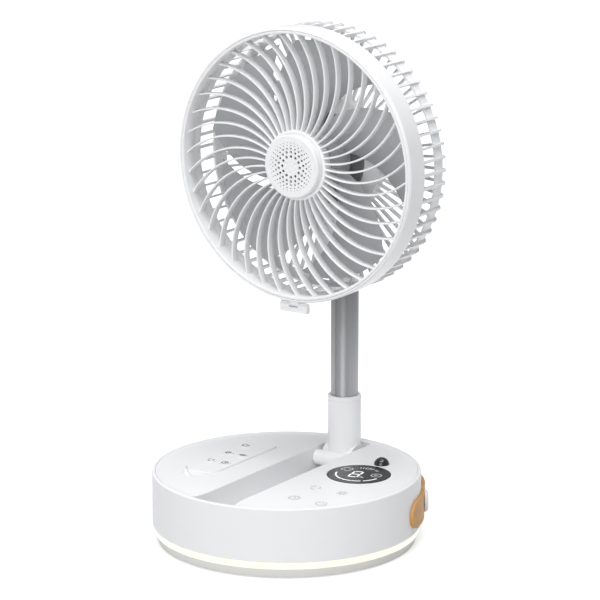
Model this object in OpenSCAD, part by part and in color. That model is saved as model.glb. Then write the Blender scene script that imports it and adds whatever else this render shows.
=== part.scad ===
// Foldable rechargeable fan: a round base with a lamp ring, a two-stage telescopic pole that folds into a
// channel in the base, and a round head that turns over on the pole's top hinge. Millimetres, +Z up, the
// front of the fan looks along -Y, and the origin lies on the floor at the middle of the base.

/* [Base] */
// Radius of the side wall
base_r = 105; // [100:1:112]
// Height from the floor to the top of the rim
base_h = 56; // [54:1:64]
// Thickness of the side wall, which is also the width of the rim
wall_t = 2.6; // [2:0.1:3.4]
// How far the top panel lies below the rim
panel_drop = 1; // [0.6:0.1:2]
// Thickness of the top panel
panel_t = 2.6; // [2:0.1:3.4]
// Height of the grey foot ring
foot_ring_h = 7; // [5:0.5:9]
// Height of the lamp ring
light_ring_h = 5.4; // [4:0.2:7]
// How far the foot ring tapers in towards the floor
foot_taper = 2.4; // [1:0.2:4]
// How far the rubber feet stand below the foot ring
feet_proud = 1; // [0.6:0.1:2]
// Thickness of the bottom cover
bottom_t = 2.4; // [2:0.1:3]
// Number of case screws
case_screws = 6; // [6:1:6]

/* [Channel] */
// Half the width of the channel that takes the folded pole
channel_half = 16.3; // [15.8:0.1:18]
// Thickness of the channel's walls and floor
channel_t = 2; // [1.6:0.1:2.6]
// How much wider the channel is on each side at its front end
channel_flare = 3.6; // [2:0.2:5]
// Length of the flared stretch
flare_l = 20; // [14:1:24]
// Room between the folded pole and the channel's floor
channel_room = 1.2; // [0.8:0.1:2]

/* [Top panel] */
// Radius of the display's lens
lens_r = 25; // [22:0.5:27]
// Place of the display, to the right of the channel
lens_x = 53.5; // [50:0.5:57]
// Place of the display, towards the back
lens_y = 21; // [15:1:25]
// Thickness of the lens
lens_t = 1.6; // [1.2:0.1:2]
// Radius of the remote receiver's dome
dome_r = 6.2; // [5:0.1:7]
// Height of the dome above the panel
dome_h = 5.6; // [4:0.1:5.8]
// Place of the dome, to the right
dome_x = 53.5; // [48:0.5:58]
// Place of the dome, towards the back
dome_y = 54; // [52:0.5:60]

/* [Remote] */
// Width of the remote
remote_w = 30; // [28:0.5:32]
// Length of the remote
remote_l = 90; // [86:1:94]
// Thickness of the remote
remote_t = 11; // [10:0.2:12]
// Radius of its corners in plan
remote_corner = 7; // [5:0.5:9]
// Place of the remote's middle, left of the channel's middle
remote_x = -55.2; // [-57:0.2:-53]
// Place of the remote's middle, towards the back
remote_y = 4; // [1:0.5:6]
// How far the remote stands above the panel
remote_proud = 0.9; // [0.5:0.1:1.4]
// Radius of a key
key_r = 4.4; // [3.6:0.1:5]
// Distance between the two columns of keys
key_pitch_x = 13.6; // [12.4:0.1:15]
// Distance between the rows of keys
key_pitch_y = 24; // [20:0.5:26]
// How far a key stands above the remote
key_proud = 0.6; // [0.4:0.1:1]
// How far a key goes down
key_travel = 0.4; // [0.3:0.05:0.5]

/* [Strap] */
// Thickness of the carry strap
strap_t = 2.5; // [2:0.1:3]
// Width of the strap between its studs
strap_w = 15.5; // [14:0.5:18]
// Height of the strap's round end tabs
tab_h = 21.5; // [20:0.5:28]
// How far the strap bows off the wall
strap_bow = 14; // [10:0.5:18]
// Height of the strap's middle above the floor
strap_z = 30; // [29:0.2:34]
// Radius of a stud's cap
stud_r = 8.8; // [6.6:0.2:9]
// Thickness of a stud's cap
stud_t = 2.8; // [2:0.1:3.4]

/* [Pole] */
// Distance of the base hinge behind the middle
hinge_y = 82.5; // [81:0.5:83]
// Depth of the base hinge below the rim
hinge_sunk = 11.8; // [11.4:0.1:12]
// Radius of the white sleeve at the foot of the pole
sleeve_r = 13.45; // [13:0.05:13.6]
// Height of the sleeve's top above the hinge
sleeve_h = 53.5; // [50:0.5:60]
// Radius of the cross bar in front of the sleeve
bar_r = 6.2; // [5:0.1:6.6]
// Radius of the base hinge's pin
pin_r = 3.5; // [3:0.1:4]
// Outer radius of the outer tube
outer_tube_r = 11.2; // [10.8:0.1:11.4]
// Outer radius of the middle tube
middle_tube_r = 9.6; // [9.4:0.05:9.7]
// Outer radius of the inner tube
inner_tube_r = 8; // [7.8:0.05:8.1]
// Wall of each tube
tube_t = 0.9; // [0.8:0.05:1]
// Travel of each telescopic stage
stage_travel = 100; // [80:1:105]
// Width of the guide groove along the tubes
groove_w = 2.6; // [2:0.1:3.2]
// Depth of the guide groove
groove_d = 0.4; // [0.3:0.05:0.5]

/* [Head] */
// Radius of the head at its front rim
head_r = 106.7; // [103:0.5:110]
// Depth of the head from the front ring to the back of the cage
head_d = 58; // [57.5:0.5:60]
// Distance of the front ring behind the middle of the base
head_y = 7.1; // [5:0.1:7.2]
// Distance from the head's middle down to its hinge
hinge_drop = 84; // [83:0.5:87]
// Depth of the solid band behind the front rim
band_d = 21; // [18:0.5:23]
// Depth at which the rear ring begins
rear_ring_d = 42; // [38:0.5:44]
// Wall of the band
band_t = 2.4; // [2:0.1:3]
// Number of spokes in the front grille
spokes = 40; // [36:1:44]
// Thickness of a spoke
spoke_t = 1.3; // [1:0.1:1.6]
// Depth of a spoke
spoke_d = 6.8; // [5:0.2:7]
// How far the spokes lie behind the front ring's plane
spoke_set = 5.5; // [4.5:0.1:6]
// Width of the front grille's ring
grille_ring_w = 2.2; // [1.8:0.1:3]
// Number of fins in the rear cage
fins = 64; // [56:1:68]
// Thickness of a fin
fin_t = 1.8; // [1.4:0.1:2]
// How far a fin stands proud of the rear ring
fin_proud = 2; // [1.4:0.1:2.6]
// Outer radius of the front grille's hub ring
hub_r = 27.3; // [27:0.1:29]
// Width of the hub ring around the perforated cap
hub_ring_w = 2.6; // [1.8:0.1:3]
// How far the cap stands ahead of the front ring
cap_ahead = 1; // [0.6:0.1:2.6]
// Rings of holes in the cap
cap_rings = 6; // [4:1:6]
// Widest hole in the cap
cap_hole = 2.3; // [1.6:0.1:2.4]

/* [Rotor] */
// Number of blades
blades = 5; // [4:1:6]
// Radius of the blades at their tips
blade_r = 94; // [90:0.5:96]
// Radius of the rotor's hub
rotor_hub_r = 26; // [24:0.5:27]
// Thickness of a blade
blade_t = 1.8; // [1.4:0.1:2.4]
// Depth of the hub's front face
rotor_front_d = 17; // [16:0.5:18]
// Depth of the hub's back edge
rotor_back_d = 43; // [41:0.5:44]
// Radius of the dark spinner on the hub's front
spinner_r = 22; // [16:0.5:23]
// Radius of the motor's shaft
shaft_r = 2; // [1.6:0.1:2.4]
// Radius of the rear motor housing
housing_r = 47; // [44:0.5:50]

/* [Latch] */
// Width of the latch tab under the front rim
latch_w = 25; // [20:0.5:28]
// Height of the latch tab
latch_h = 8.4; // [7:0.2:10]
// Thickness of the latch tab
latch_t = 4.6; // [4:0.1:5.4]

/* [Hidden] */
$fn = 96;

// one overrun for all cuts, the fit of moving round parts and the seam between casings
over = 1;
fit = 0.05;
seam = 0.2;
side_gap = 0.3;

// colours
white = [0.94, 0.945, 0.95];
pale_grey = [0.84, 0.85, 0.84];
steel = [0.62, 0.64, 0.66];
dark = [0.09, 0.09, 0.1];
tan_leather = [0.78, 0.55, 0.3];
board_green = [0.1, 0.32, 0.2];

// heights of the base
foot_z = feet_proud;
foot_top_z = foot_z + foot_ring_h;
light_z = foot_top_z + seam;
light_top_z = light_z + light_ring_h;
wall_z = light_top_z + seam;
panel_z = base_h - panel_drop;
panel_under_z = panel_z - panel_t;
inner_r = base_r - wall_t;
panel_r = inner_r - seam;
panel_dish_w = 6;
dome_ball_r = (dome_r * dome_r + dome_h * dome_h) / (2 * dome_h);
ring_in_r = inner_r - 2 * wall_t;
ledge_w = 3;
ledge_h = 2;
rim_round = 1;
light_step = 0.5;
light_taper = 1.2;
foot_out_r = base_r - light_step - light_taper - seam;
cover_r = ring_in_r - seam;
cover_z = foot_z + over;
cover_top_z = cover_z + bottom_t;
led_in_r = cover_r - 2 * wall_t;
post_r = 4;
post_inset = 19;
post_at_r = base_r - post_inset;
screw_r = 1.25;
screw_l = 12;
screw_head_r = 2.7;
screw_head_h = 1.4;
screw_hole_r = screw_r + seam;
foot_pad_r = 8;
foot_pad_inset = 27;
foot_pad_at_r = base_r - foot_pad_inset;
foot_pads = 4;

// channel and hinge well
hinge_z = base_h - hinge_sunk;
floor_z = hinge_z - sleeve_r - channel_room;
well_room = 0.9;
bar_y = hinge_y - sleeve_r - bar_r / 2;
bar_z = hinge_z + bar_r * 0.45;
well_r = norm([hinge_y - bar_y, bar_z - hinge_z]) + bar_r + well_room;
back_y = hinge_y + sleeve_r + channel_room;
front_y = -sqrt(pow(panel_r, 2) - pow(channel_half + channel_flare, 2));
flare_y = front_y + flare_l;
bar_half = channel_half - side_gap;
washer_r = 8;
bracket_t = 3;
bracket_half = panel_under_z - hinge_z - seam;
bracket_x = channel_half + channel_t;
pin_half = bracket_x + bracket_t + side_gap;
pin_head_rim = 1.8;
pin_head_r = pin_r + pin_head_rim;
pin_head_t = 1.2;

// pole, standing up from the hinge
pole_l = hinge_y + hinge_drop;
tilt_z = hinge_z + pole_l;
head_z = tilt_z + hinge_drop;
tongue_r = 9;
tongue_half = 8;
cap_h = 5.4;
cap_gap = 0.3;
tongue_foot_h = 5;
tongue_foot_z = tilt_z - tongue_r - tongue_foot_h - 1.6 * cap_gap;
inner_top_z = tongue_foot_z + tongue_foot_h - over;
middle_cap_z = tongue_foot_z - cap_gap - cap_h;
outer_cap_z = middle_cap_z - cap_gap - cap_h;
tube_seat = 4;
outer_foot_z = hinge_z + sleeve_r + tube_seat;
bush_h = 10;
tube_step = 3;
middle_foot_z = outer_foot_z + tube_step;
inner_foot_z = middle_foot_z + tube_step;
outer_bore_r = outer_tube_r - tube_t;
middle_bore_r = middle_tube_r - tube_t;
inner_bore_r = inner_tube_r - tube_t;
cap_lip = 1;
outer_cap_r = outer_tube_r + cap_lip;
middle_cap_r = outer_tube_r - seam;
sleeve_top_z = hinge_z + sleeve_h;
collar_h = 3.4;
collar_groove = 0.35;

// head: depths are measured backwards from the front ring's plane
tilt_d = hinge_y - head_y;
band_lip = 2.55;
grille_r = head_r - band_lip;
grille_in_r = grille_r - grille_ring_w;
grille_ring_d = 15;
lip_t = head_r - grille_r - seam;
cage_inset = 1.2;
cage_out_r = head_r - cage_inset;
rear_ring_r = cage_out_r - fin_proud;
rear_ring_t = 1.6;
cage_in_r = rear_ring_r - rear_ring_t;
fin_corner = 6;
fin_rear_t = 3.4;
cage_hub_t = 2.4;
fin_root = 0.6;
hub_front_d = spoke_set - rim_round * 0.3;
hub_ring_d = spoke_set + spoke_d + rim_round;
cap_r = hub_r - hub_ring_w - seam / 2;
cap_face_r = cap_r - 0.9 * rim_round;
cap_seat = 3.2;
cap_skirt = spoke_set + cap_seat;
cap_face_t = 1.6;
cap_wall = 2.4;
cap_ring_shares = [0.185, 0.327, 0.464, 0.577, 0.68, 0.757];
cap_hole_shares = [0.9, 1, 0.9, 0.72, 0.52, 0.38];
backing_t = 1;

// shape of a spoke: angles at the hub and the ring, and the bow as a share of the chord
spoke_hub_angle = 8.6;
spoke_turn = 19;
spoke_bow_share = 0.159;

// blades: the front view of the gap between two blades turns back as it goes out
gap_angle = 78.6;
gap_turn = 44.2;
gap_width_angle = 16;
blade_front_d = 27;
blade_back_d = 41.5;
root_front_d = 23;
root_back_d = 40.5;
blade_steps = 9;
chord_steps = 8;
blade_edge_share = 0.3;
hub_wall = 2;

// motor housing and tilt arm
mount_h = 11;
mount_d = head_d - mount_h;
cover_t = 2.4;
cover_d = head_d - cover_t;
mount_t = 2;
arm_boss_r = 3.4;
stator_r = 19;
stator_set = 8;
stator_front_d = rotor_front_d + stator_set;
plate_gap = 1.4;
plate_d = rotor_back_d + plate_gap;
plate_inset = 11;
plate_r = housing_r - plate_inset;
bell_t = 1.6;
bearing_r = 6.5;
boss_r = 8.5;
arm_half = 13.2;
lug_t = arm_half - tongue_half - 2 * seam;
lug_slope = 10;
arm_in = 7.4;
arm_top = housing_r - arm_in;
arm_screw_in = 4.1;
arm_foot = 12;
arm_bottom = hinge_drop + arm_foot;
arm_t = 4.4;
tilt_pin_r = 3;
tilt_cap_r = 6;
tilt_cap_t = 1.4;

// strap and studs: angles around the base from +X
stud_angle = 33.8;
tab_end_angle = 8.2;
strap_gap = 0.2;
strap_in_r = base_r + strap_gap;
strap_out_r = strap_in_r + strap_t;
stud_shank_r = 3;
stud_flange_r = 5;
stud_flange_t = 1.6;
strap_step = 4;
bow_power = 0.8;
slit_l = 13.5;
slit_w = 1.6;
bow_angle = stud_angle + asin((stud_r + rim_round) / base_r);

// remote
remote_z = panel_z + remote_proud - remote_t;
remote_split = remote_t * 0.5;
pocket_gap = 0.5;
pocket_t = 1.6;
pocket_z = remote_z - side_gap;
scoop_r = 14;
scoop_up = 7;
scoop_y = remote_y - remote_l / 2 - 1.2 * pocket_t;
remote_wall = 1.6;
key_gap = 0.15;
key_flange = 0.8;
cell_r = 10;
cell_t = 2.5;
key_col_x = [-key_pitch_x / 2, key_pitch_x / 2];
key_row_shares = [-0.79, 0.21, 1.21];

// ballast, battery and boards
ballast_half = 18;
ballast_l = 110;
ballast_t = 8;
ballast_inset = 28;
cell21_r = 10.6;
cell21_l = 70;
cell_pitch = 23;
tray_t = 2;
tray_gap = 1;
tray_half = cell_pitch / 2 + cell21_r;
cell_x = ballast_half + tray_gap + tray_half;
cell_y = cell21_l / 2 + tray_t
  - min(sqrt(pow(led_in_r - tray_gap, 2) - pow(cell_x + tray_half, 2)), post_at_r * sin(60) - post_r - tray_gap);
board_t = 1.6;
led_count = 24;
led_w = 3;
led_h = 1.6;
port_angle = 190;
port_w = 9;
port_h = 3.2;
port_z = 25;
port_l = 8;

module tube(r, bore, h) {
  difference() {
    cylinder(r = r, h = h);
    translate([0, 0, -over]) cylinder(r = bore, h = h + 2 * over);
  }
}

module along_x(half) {
  rotate([0, 90, 0]) translate([0, 0, -half]) linear_extrude(2 * half) children();
}

// a plan outline with round corners, from exact arcs and straight sides
module round_plate(w, l, r, h) {
  linear_extrude(h) union() {
    square([w - 2 * r, l], center = true);
    square([w, l - 2 * r], center = true);
    for (sx = [-1, 1], sy = [-1, 1])
      translate([sx * (w / 2 - r), sy * (l / 2 - r)]) circle(r = r);
  }
}

// Base

module base_shell() {
  color(white) difference() {
    rotate_extrude() polygon([
      [ring_in_r, wall_z], [base_r - light_step, wall_z], [base_r, wall_z + light_step],
      [base_r, base_h - rim_round], [base_r - rim_round * 0.3, base_h - rim_round * 0.3],
      [base_r - rim_round, base_h], [inner_r + rim_round * 0.3, base_h], [inner_r, base_h - rim_round * 0.3],
      [inner_r, panel_under_z], [inner_r - ledge_w, panel_under_z],
      [inner_r - ledge_w, panel_under_z - ledge_h], [inner_r, panel_under_z - ledge_h - ledge_w],
      [inner_r, wall_z + ledge_h], [ring_in_r, wall_z + ledge_h]
    ]);
    for (side = [0, 1]) mirror([side, 0, 0]) rotate([0, 0, stud_angle])
      translate([inner_r - over, 0, strap_z]) rotate([0, 90, 0])
        cylinder(r = stud_shank_r + seam / 2, h = wall_t + 2 * over);
    rotate([0, 0, port_angle]) translate([inner_r - over, 0, port_z]) port_outline(seam, wall_t + 2 * over);
    panel_trough_cut();
  }
}

// the trough's outer walls pass through the shell's inner ledge
module panel_trough_cut() {
  translate([0, 0, panel_under_z - ledge_h - ledge_w - over]) intersection() {
    linear_extrude(ledge_h + ledge_w + over) channel_plan(channel_t + seam);
    cylinder(r = inner_r + seam, h = base_h);
  }
}

module port_outline(gap, l) {
  r = port_h / 2 + gap;
  rotate([0, 90, 0]) linear_extrude(l) union() {
    square([2 * r, port_w - port_h], center = true);
    for (s = [-1, 1]) translate([0, s * (port_w - port_h) / 2]) circle(r = r);
  }
}

// plan outline of the channel, grown by a named amount for its walls
function flare_at(y) = y > flare_y ? 0 : channel_flare * pow((flare_y - y) / flare_l, 2);
module channel_plan(grow) {
  steps = 5;
  right = [for (i = [0:steps]) let (y = flare_y - i * flare_l / steps) [channel_half + flare_at(y) + grow, y]];
  wide = right[steps].x;
  polygon(concat(
    [[channel_half + grow, back_y + grow]], right, [[wide, front_y - wall_t], [-wide, front_y - wall_t]],
    [for (i = [0:steps]) [-right[steps - i].x, right[steps - i].y]],
    [[-channel_half - grow, back_y + grow]]
  ));
}

module well(grow, top_z) {
  intersection() {
    translate([0, hinge_y, hinge_z]) along_x(channel_half + grow) circle(r = well_r + grow);
    translate([-channel_half - grow, hinge_y - well_r - grow, 0])
      cube([2 * (channel_half + grow), back_y + grow - (hinge_y - well_r - grow), top_z]);
  }
}

module post_places() {
  for (i = [0:case_screws - 1]) rotate([0, 0, i * 360 / case_screws]) translate([post_at_r, 0, 0]) children();
}

module top_panel() {
  color(white) difference() {
    union() {
      rotate_extrude() polygon(concat(
        [[0, panel_under_z], [panel_r, panel_under_z], [panel_r, base_h - panel_drop * 0.3]],
        [for (i = [1:5]) [panel_r - panel_dish_w * i / 5, panel_z + panel_drop * 0.7 * pow(1 - i / 5, 2)]],
        [[0, panel_z]]
      ));
      intersection() {
        translate([0, 0, floor_z - channel_t]) linear_extrude(panel_z - panel_t / 2 - floor_z + channel_t)
          channel_plan(channel_t);
        cylinder(r = panel_r, h = base_h);
      }
      well(channel_t, panel_z - panel_t / 2);
      translate([remote_x, remote_y, pocket_z - pocket_t]) round_plate(
        remote_w + 2 * (pocket_gap + pocket_t), remote_l + 2 * (pocket_gap + pocket_t),
        remote_corner + pocket_gap + pocket_t, panel_z - panel_t / 2 - pocket_z + pocket_t);
      translate([remote_x, scoop_y, panel_z + scoop_up - scoop_r - pocket_t])
        cylinder(r = scoop_r + pocket_t, h = scoop_r + pocket_t - scoop_up - panel_t / 2);
      post_places() translate([0, 0, cover_top_z]) cylinder(r = post_r, h = panel_under_z + over - cover_top_z);
      for (a = [30, 150, 270]) translate([lens_x, lens_y, panel_under_z - 2 * panel_t]) rotate([0, 0, a])
        translate([lens_r - ledge_w / 2, 0, 0]) cylinder(r = ledge_w / 2, h = 2 * panel_t + over);
    }
    translate([0, 0, floor_z]) linear_extrude(base_h) channel_plan(0);
    well(0, base_h + over);
    translate([remote_x, remote_y, pocket_z]) round_plate(remote_w + 2 * pocket_gap,
      remote_l + 2 * pocket_gap, remote_corner + pocket_gap, remote_t + over);
    translate([remote_x, scoop_y, panel_z + scoop_up]) sphere(r = scoop_r);
    translate([lens_x, lens_y, panel_z - lens_t + seam]) cylinder(r = lens_r + seam / 2, h = lens_t + over);
    translate([lens_x, lens_y, panel_under_z - over / 2]) cylinder(r = lens_r - ledge_w, h = panel_t + over);
    translate([dome_x, dome_y, panel_under_z - over]) cylinder(r = dome_r + seam / 2, h = panel_t + 2 * over);
    post_places() translate([0, 0, cover_top_z - over]) cylinder(r = screw_r + fit, h = screw_l + over);
    translate([0, hinge_y, hinge_z]) along_x(bracket_x + over) circle(r = pin_r + seam);
  }
}

module bottom_cover() {
  color(white) difference() {
    union() {
      translate([0, 0, cover_z]) cylinder(r = cover_r, h = bottom_t);
      translate([0, 0, cover_z]) tube(cover_r, cover_r - wall_t, light_z - cover_z);
      translate([0, 0, cover_top_z]) for (p = board_pegs()) translate(p)
        cylinder(r = post_r - over, h = board_z - cover_top_z);
    }
    post_places() translate([0, 0, cover_z - over]) cylinder(r = screw_hole_r, h = bottom_t + 2 * over);
    post_places() translate([0, 0, cover_z - over]) cylinder(r = screw_head_r + seam, h = screw_head_h + over);
    foot_places() translate([0, 0, cover_z - over]) cylinder(r = foot_pad_r + seam, h = over + seam);
  }
}

module foot_places() {
  children();
  for (i = [0:foot_pads - 1]) rotate([0, 0, 45 + i * 360 / foot_pads]) translate([foot_pad_at_r, 0, 0]) children();
}

module foot_ring() {
  color(pale_grey) rotate_extrude() polygon([
    [ring_in_r, foot_z], [foot_out_r - foot_taper, foot_z], [foot_out_r, foot_top_z], [ring_in_r, foot_top_z]
  ]);
}

module light_ring() {
  color([1, 0.98, 0.9]) rotate_extrude() polygon([
    [ring_in_r + over, light_z], [base_r - light_step - light_taper, light_z],
    [base_r - light_step, light_top_z - light_step], [base_r - 2 * light_step, light_top_z],
    [ring_in_r + over, light_top_z]
  ]);
}

module led_board() {
  color(board_green) translate([0, 0, light_z]) tube(cover_r, led_in_r, board_t);
  color([1, 0.95, 0.8]) for (i = [0:led_count - 1]) rotate([0, 0, (i + 0.5) * 360 / led_count])
    translate([cover_r - over - led_w, -led_w / 2, light_z + board_t / 2]) cube([led_w, led_w, board_t / 2 + led_h]);
}

module rubber_feet() {
  color(dark) foot_places() cylinder(r = foot_pad_r, h = cover_z + seam);
}

module case_screws() {
  color(steel) post_places() {
    translate([0, 0, cover_z]) cylinder(r = screw_head_r, h = screw_head_h);
    translate([0, 0, cover_z]) cylinder(r = screw_r, h = bottom_t + screw_l - over);
  }
}

module ballast_plate() {
  color(steel) translate([-ballast_half, ballast_inset - base_r, cover_top_z]) cube([2 * ballast_half, ballast_l, ballast_t]);
}

module battery_cells() {
  color([0.25, 0.45, 0.7]) for (s = [-1, 1])
    translate([cell_x + s * cell_pitch / 2, cell_y - cell21_l / 2, cover_top_z + tray_t + cell21_r])
      rotate([-90, 0, 0]) cylinder(r = cell21_r, h = cell21_l);
}

module battery_tray() {
  w = 2 * tray_half;
  color(dark) translate([cell_x - w / 2, cell_y - cell21_l / 2 - tray_t, cover_top_z]) {
    cube([w, cell21_l + 2 * tray_t, tray_t]);
    for (y = [0, cell21_l + tray_t]) translate([0, y, 0]) cube([w, tray_t, cell21_r + tray_t]);
  }
}

board_z = 20;
board_room = 9;
board_w = post_at_r - post_r - ballast_half - 2 * board_room;
board_l = 70;
board_x = -(ballast_half + board_room + board_w / 2);
board_y = -4;
function board_pegs() = [for (sx = [-1, 1], sy = [-1, 1])
  [board_x + sx * (board_w / 2 - post_r), board_y + sy * (board_l / 2 - post_r), 0]];
module main_board() {
  color(board_green) translate([board_x - board_w / 2, board_y - board_l / 2, board_z]) cube([board_w, board_l, board_t]);
  color(dark) translate([board_x - board_w / 4, board_y, board_z + board_t]) cube([board_w / 4, board_w / 4, board_t]);
}

module charge_port() {
  color(steel) rotate([0, 0, port_angle]) translate([base_r - port_l - rim_round, 0, port_z]) difference() {
    port_outline(0, port_l);
    translate([over, 0, 0]) port_outline(-rim_round * 0.4, port_l);
  }
  color(board_green) rotate([0, 0, port_angle])
    translate([inner_r - port_l - over, -port_w, port_z - port_h / 2 - board_t]) cube([port_l, 2 * port_w, board_t]);
}

module display_lens() {
  color(dark) translate([lens_x, lens_y, panel_z - lens_t + seam]) {
    cylinder(r = lens_r, h = lens_t - 2 * seam);
    translate([0, 0, lens_t - 2 * seam]) cylinder(r1 = lens_r, r2 = lens_r - seam * 2, h = seam * 2);
  }
}

module display_board() {
  color(board_green) translate([lens_x, lens_y, panel_under_z - 2 * panel_t - board_t])
    cylinder(r = lens_r, h = board_t);
  color(dark) translate([lens_x - lens_r / 2, lens_y - lens_r / 4, panel_under_z - 2 * panel_t])
    cube([lens_r, lens_r / 2, panel_t]);
}

touch_w = 36;
touch_l = 44;
touch_x = 56;
touch_y = -41;
module touch_board() {
  color(board_green) translate([touch_x - touch_w / 2, touch_y - touch_l / 2, panel_under_z - board_t])
    cube([touch_w, touch_l, board_t]);
}

module receiver_dome() {
  color(dark) translate([dome_x, dome_y, 0]) {
    translate([0, 0, panel_under_z - over]) cylinder(r = dome_r + over, h = over);
    translate([0, 0, panel_under_z]) cylinder(r = dome_r, h = panel_t);
    translate([0, 0, panel_z]) intersection() {
      translate([0, 0, dome_h - dome_ball_r]) sphere(r = dome_ball_r);
      cylinder(r = dome_r, h = 2 * dome_r);
    }
  }
}

// Base hinge

module hinge_brackets() {
  color(steel) for (side = [0, 1]) mirror([side, 0, 0]) translate([bracket_x, hinge_y, hinge_z])
    rotate([90, 0, 90]) linear_extrude(bracket_t) difference() {
      union() {
        circle(r = bracket_half);
        translate([-bracket_half, 0]) square([2 * bracket_half, panel_under_z - hinge_z]);
      }
      circle(r = pin_r + fit);
    }
}

module base_hinge_pin() {
  color(steel) translate([0, hinge_y, hinge_z]) {
    along_x(pin_half) circle(r = pin_r);
    for (side = [0, 1]) mirror([side, 0, 0]) translate([pin_half, 0, 0]) rotate([0, 90, 0])
      cylinder(r = pin_head_r, h = pin_head_t);
  }
}

module hinge_washers() {
  color(steel) translate([0, hinge_y, hinge_z]) for (side = [0, 1]) mirror([side, 0, 0])
    translate([sleeve_r + seam / 2, 0, 0]) rotate([0, 90, 0])
      tube(washer_r, pin_r + fit, channel_half - sleeve_r - seam / 2);
}

// Carry strap

function bow_at(a) = a <= bow_angle || a >= 180 - bow_angle ? 0
  : strap_bow * pow(sin(180 * (a - bow_angle) / (180 - 2 * bow_angle)), bow_power);
// the strip starts inside the tab, a little thinner there, and leaves the wall past the stud
function tuck_at(a) = a <= bow_angle || a >= 180 - bow_angle ? seam : 0;
module strap() {
  start = stud_angle + asin((stud_shank_r + rim_round / 2) / base_r);
  turns = floor((180 - 2 * start) / strap_step);
  angles = [for (i = [0:turns]) start + i * (180 - 2 * start) / turns];
  color(tan_leather) difference() {
    union() {
      translate([0, 0, strap_z - strap_w / 2]) linear_extrude(strap_w) polygon(concat(
        [for (a = angles) (strap_in_r + bow_at(a) + tuck_at(a)) * [cos(a), sin(a)]],
        [for (i = [0:turns]) let (a = angles[turns - i]) (strap_out_r + bow_at(a) - tuck_at(a)) * [cos(a), sin(a)]]
      ));
      for (side = [0, 1]) mirror([side, 0, 0]) tab();
    }
    for (side = [0, 1]) mirror([side, 0, 0]) rotate([0, 0, stud_angle])
      translate([base_r - over, 0, strap_z]) {
        rotate([0, 90, 0]) cylinder(r = stud_shank_r + seam / 2, h = strap_t + 3 * over);
        translate([0, -slit_l, -slit_w / 2]) cube([strap_t + 3 * over, slit_l, slit_w]);
      }
  }
}

// a tab that lies along the wall from its round free end to just past the stud
module tab() {
  end_turn = asin(tab_h / 2 / base_r);
  low_angle = tab_end_angle + end_turn;
  high_angle = stud_angle - end_turn / 3;
  half = strap_in_r * sin((high_angle - low_angle) / 2);
  translate([0, 0, strap_z]) intersection() {
    translate([0, 0, -tab_h]) tube(strap_out_r, strap_in_r, 2 * tab_h);
    rotate([0, 0, (low_angle + high_angle) / 2]) rotate([0, 90, 0]) translate([0, 0, strap_in_r * 0.9])
      linear_extrude(strap_in_r * 0.2) union() {
        square([tab_h, 2 * half], center = true);
        for (side = [-1, 1]) translate([0, side * half]) circle(r = tab_h / 2);
      }
  }
}

module strap_studs() {
  color([0.93, 0.92, 0.9]) for (side = [0, 1]) mirror([side, 0, 0]) rotate([0, 0, stud_angle])
    translate([0, 0, strap_z]) rotate([0, 90, 0]) {
      translate([0, 0, strap_out_r + seam / 2]) cylinder(r = stud_r, h = stud_t / 2);
      translate([0, 0, strap_out_r + seam / 2 + stud_t / 2])
        cylinder(r1 = stud_r, r2 = stud_r - stud_t / 2, h = stud_t / 2);
      translate([0, 0, inner_r - stud_flange_t]) cylinder(r = stud_shank_r, h = strap_out_r + stud_t - inner_r);
      translate([0, 0, inner_r - stud_flange_t - seam]) cylinder(r = stud_flange_r, h = stud_flange_t);
    }
}

// Pole, lower part

module pole_sleeve() {
  color(white) difference() {
    union() {
      translate([0, hinge_y, hinge_z]) cylinder(r = sleeve_r, h = sleeve_h - collar_h);
      translate([0, hinge_y, hinge_z]) along_x(sleeve_r) circle(r = sleeve_r);
      translate([0, bar_y, bar_z]) {
        along_x(bar_half - rim_round) circle(r = bar_r);
        for (side = [0, 1]) mirror([side, 0, 0]) translate([bar_half - rim_round, 0, 0]) rotate([0, 90, 0])
          cylinder(r1 = bar_r, r2 = bar_r - rim_round, h = rim_round);
      }
      translate([-sleeve_r, bar_y, bar_z - bar_r]) cube([2 * sleeve_r, hinge_y - bar_y, bar_r]);
    }
    translate([0, hinge_y, hinge_z]) along_x(sleeve_r + over) circle(r = pin_r + fit);
    translate([0, hinge_y, outer_foot_z]) cylinder(r = outer_tube_r, h = sleeve_h);
    translate([0, hinge_y, sleeve_top_z - collar_h - collar_groove]) difference() {
      cylinder(r = sleeve_r + over, h = sleeve_h);
      translate([0, 0, -over]) cylinder(r = sleeve_r - collar_groove, h = sleeve_h + 2 * over);
    }
  }
}

module sleeve_collar() {
  color(white) translate([0, hinge_y, sleeve_top_z - collar_h]) rotate_extrude() polygon([
    [outer_tube_r, 0], [sleeve_r, 0], [sleeve_r, collar_h - rim_round],
    [sleeve_r - rim_round / 2, collar_h], [outer_tube_r, collar_h]
  ]);
}

// a drawn tube with its guide groove down the front
module pole_tube(r, foot, top) {
  translate([0, hinge_y, foot]) difference() {
    tube(r, r - tube_t, top - foot);
    translate([-groove_w / 2, -r - over, -over]) cube([groove_w, over + groove_d, top - foot + 2 * over]);
  }
}

module outer_tube() { color(steel) pole_tube(outer_tube_r, outer_foot_z, outer_cap_z); }
module middle_tube() { color(steel) pole_tube(middle_tube_r, middle_foot_z, middle_cap_z); }
module inner_tube() { color(steel) pole_tube(inner_tube_r, inner_foot_z, inner_top_z); }

// a guide cap on a tube's top end, with the next tube's bore through it and a key in that tube's groove
module guide_cap(r, next_r, z) {
  translate([0, hinge_y, z]) {
    rotate_extrude() polygon([
      [next_r + fit, 0], [r, 0], [r, cap_h - rim_round], [r - rim_round, cap_h], [next_r + fit, cap_h]
    ]);
    translate([-groove_w / 2 + seam, -next_r - rim_round, 0]) cube([groove_w - 2 * seam, rim_round + groove_d - 2 * fit, cap_h]);
  }
}

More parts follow.
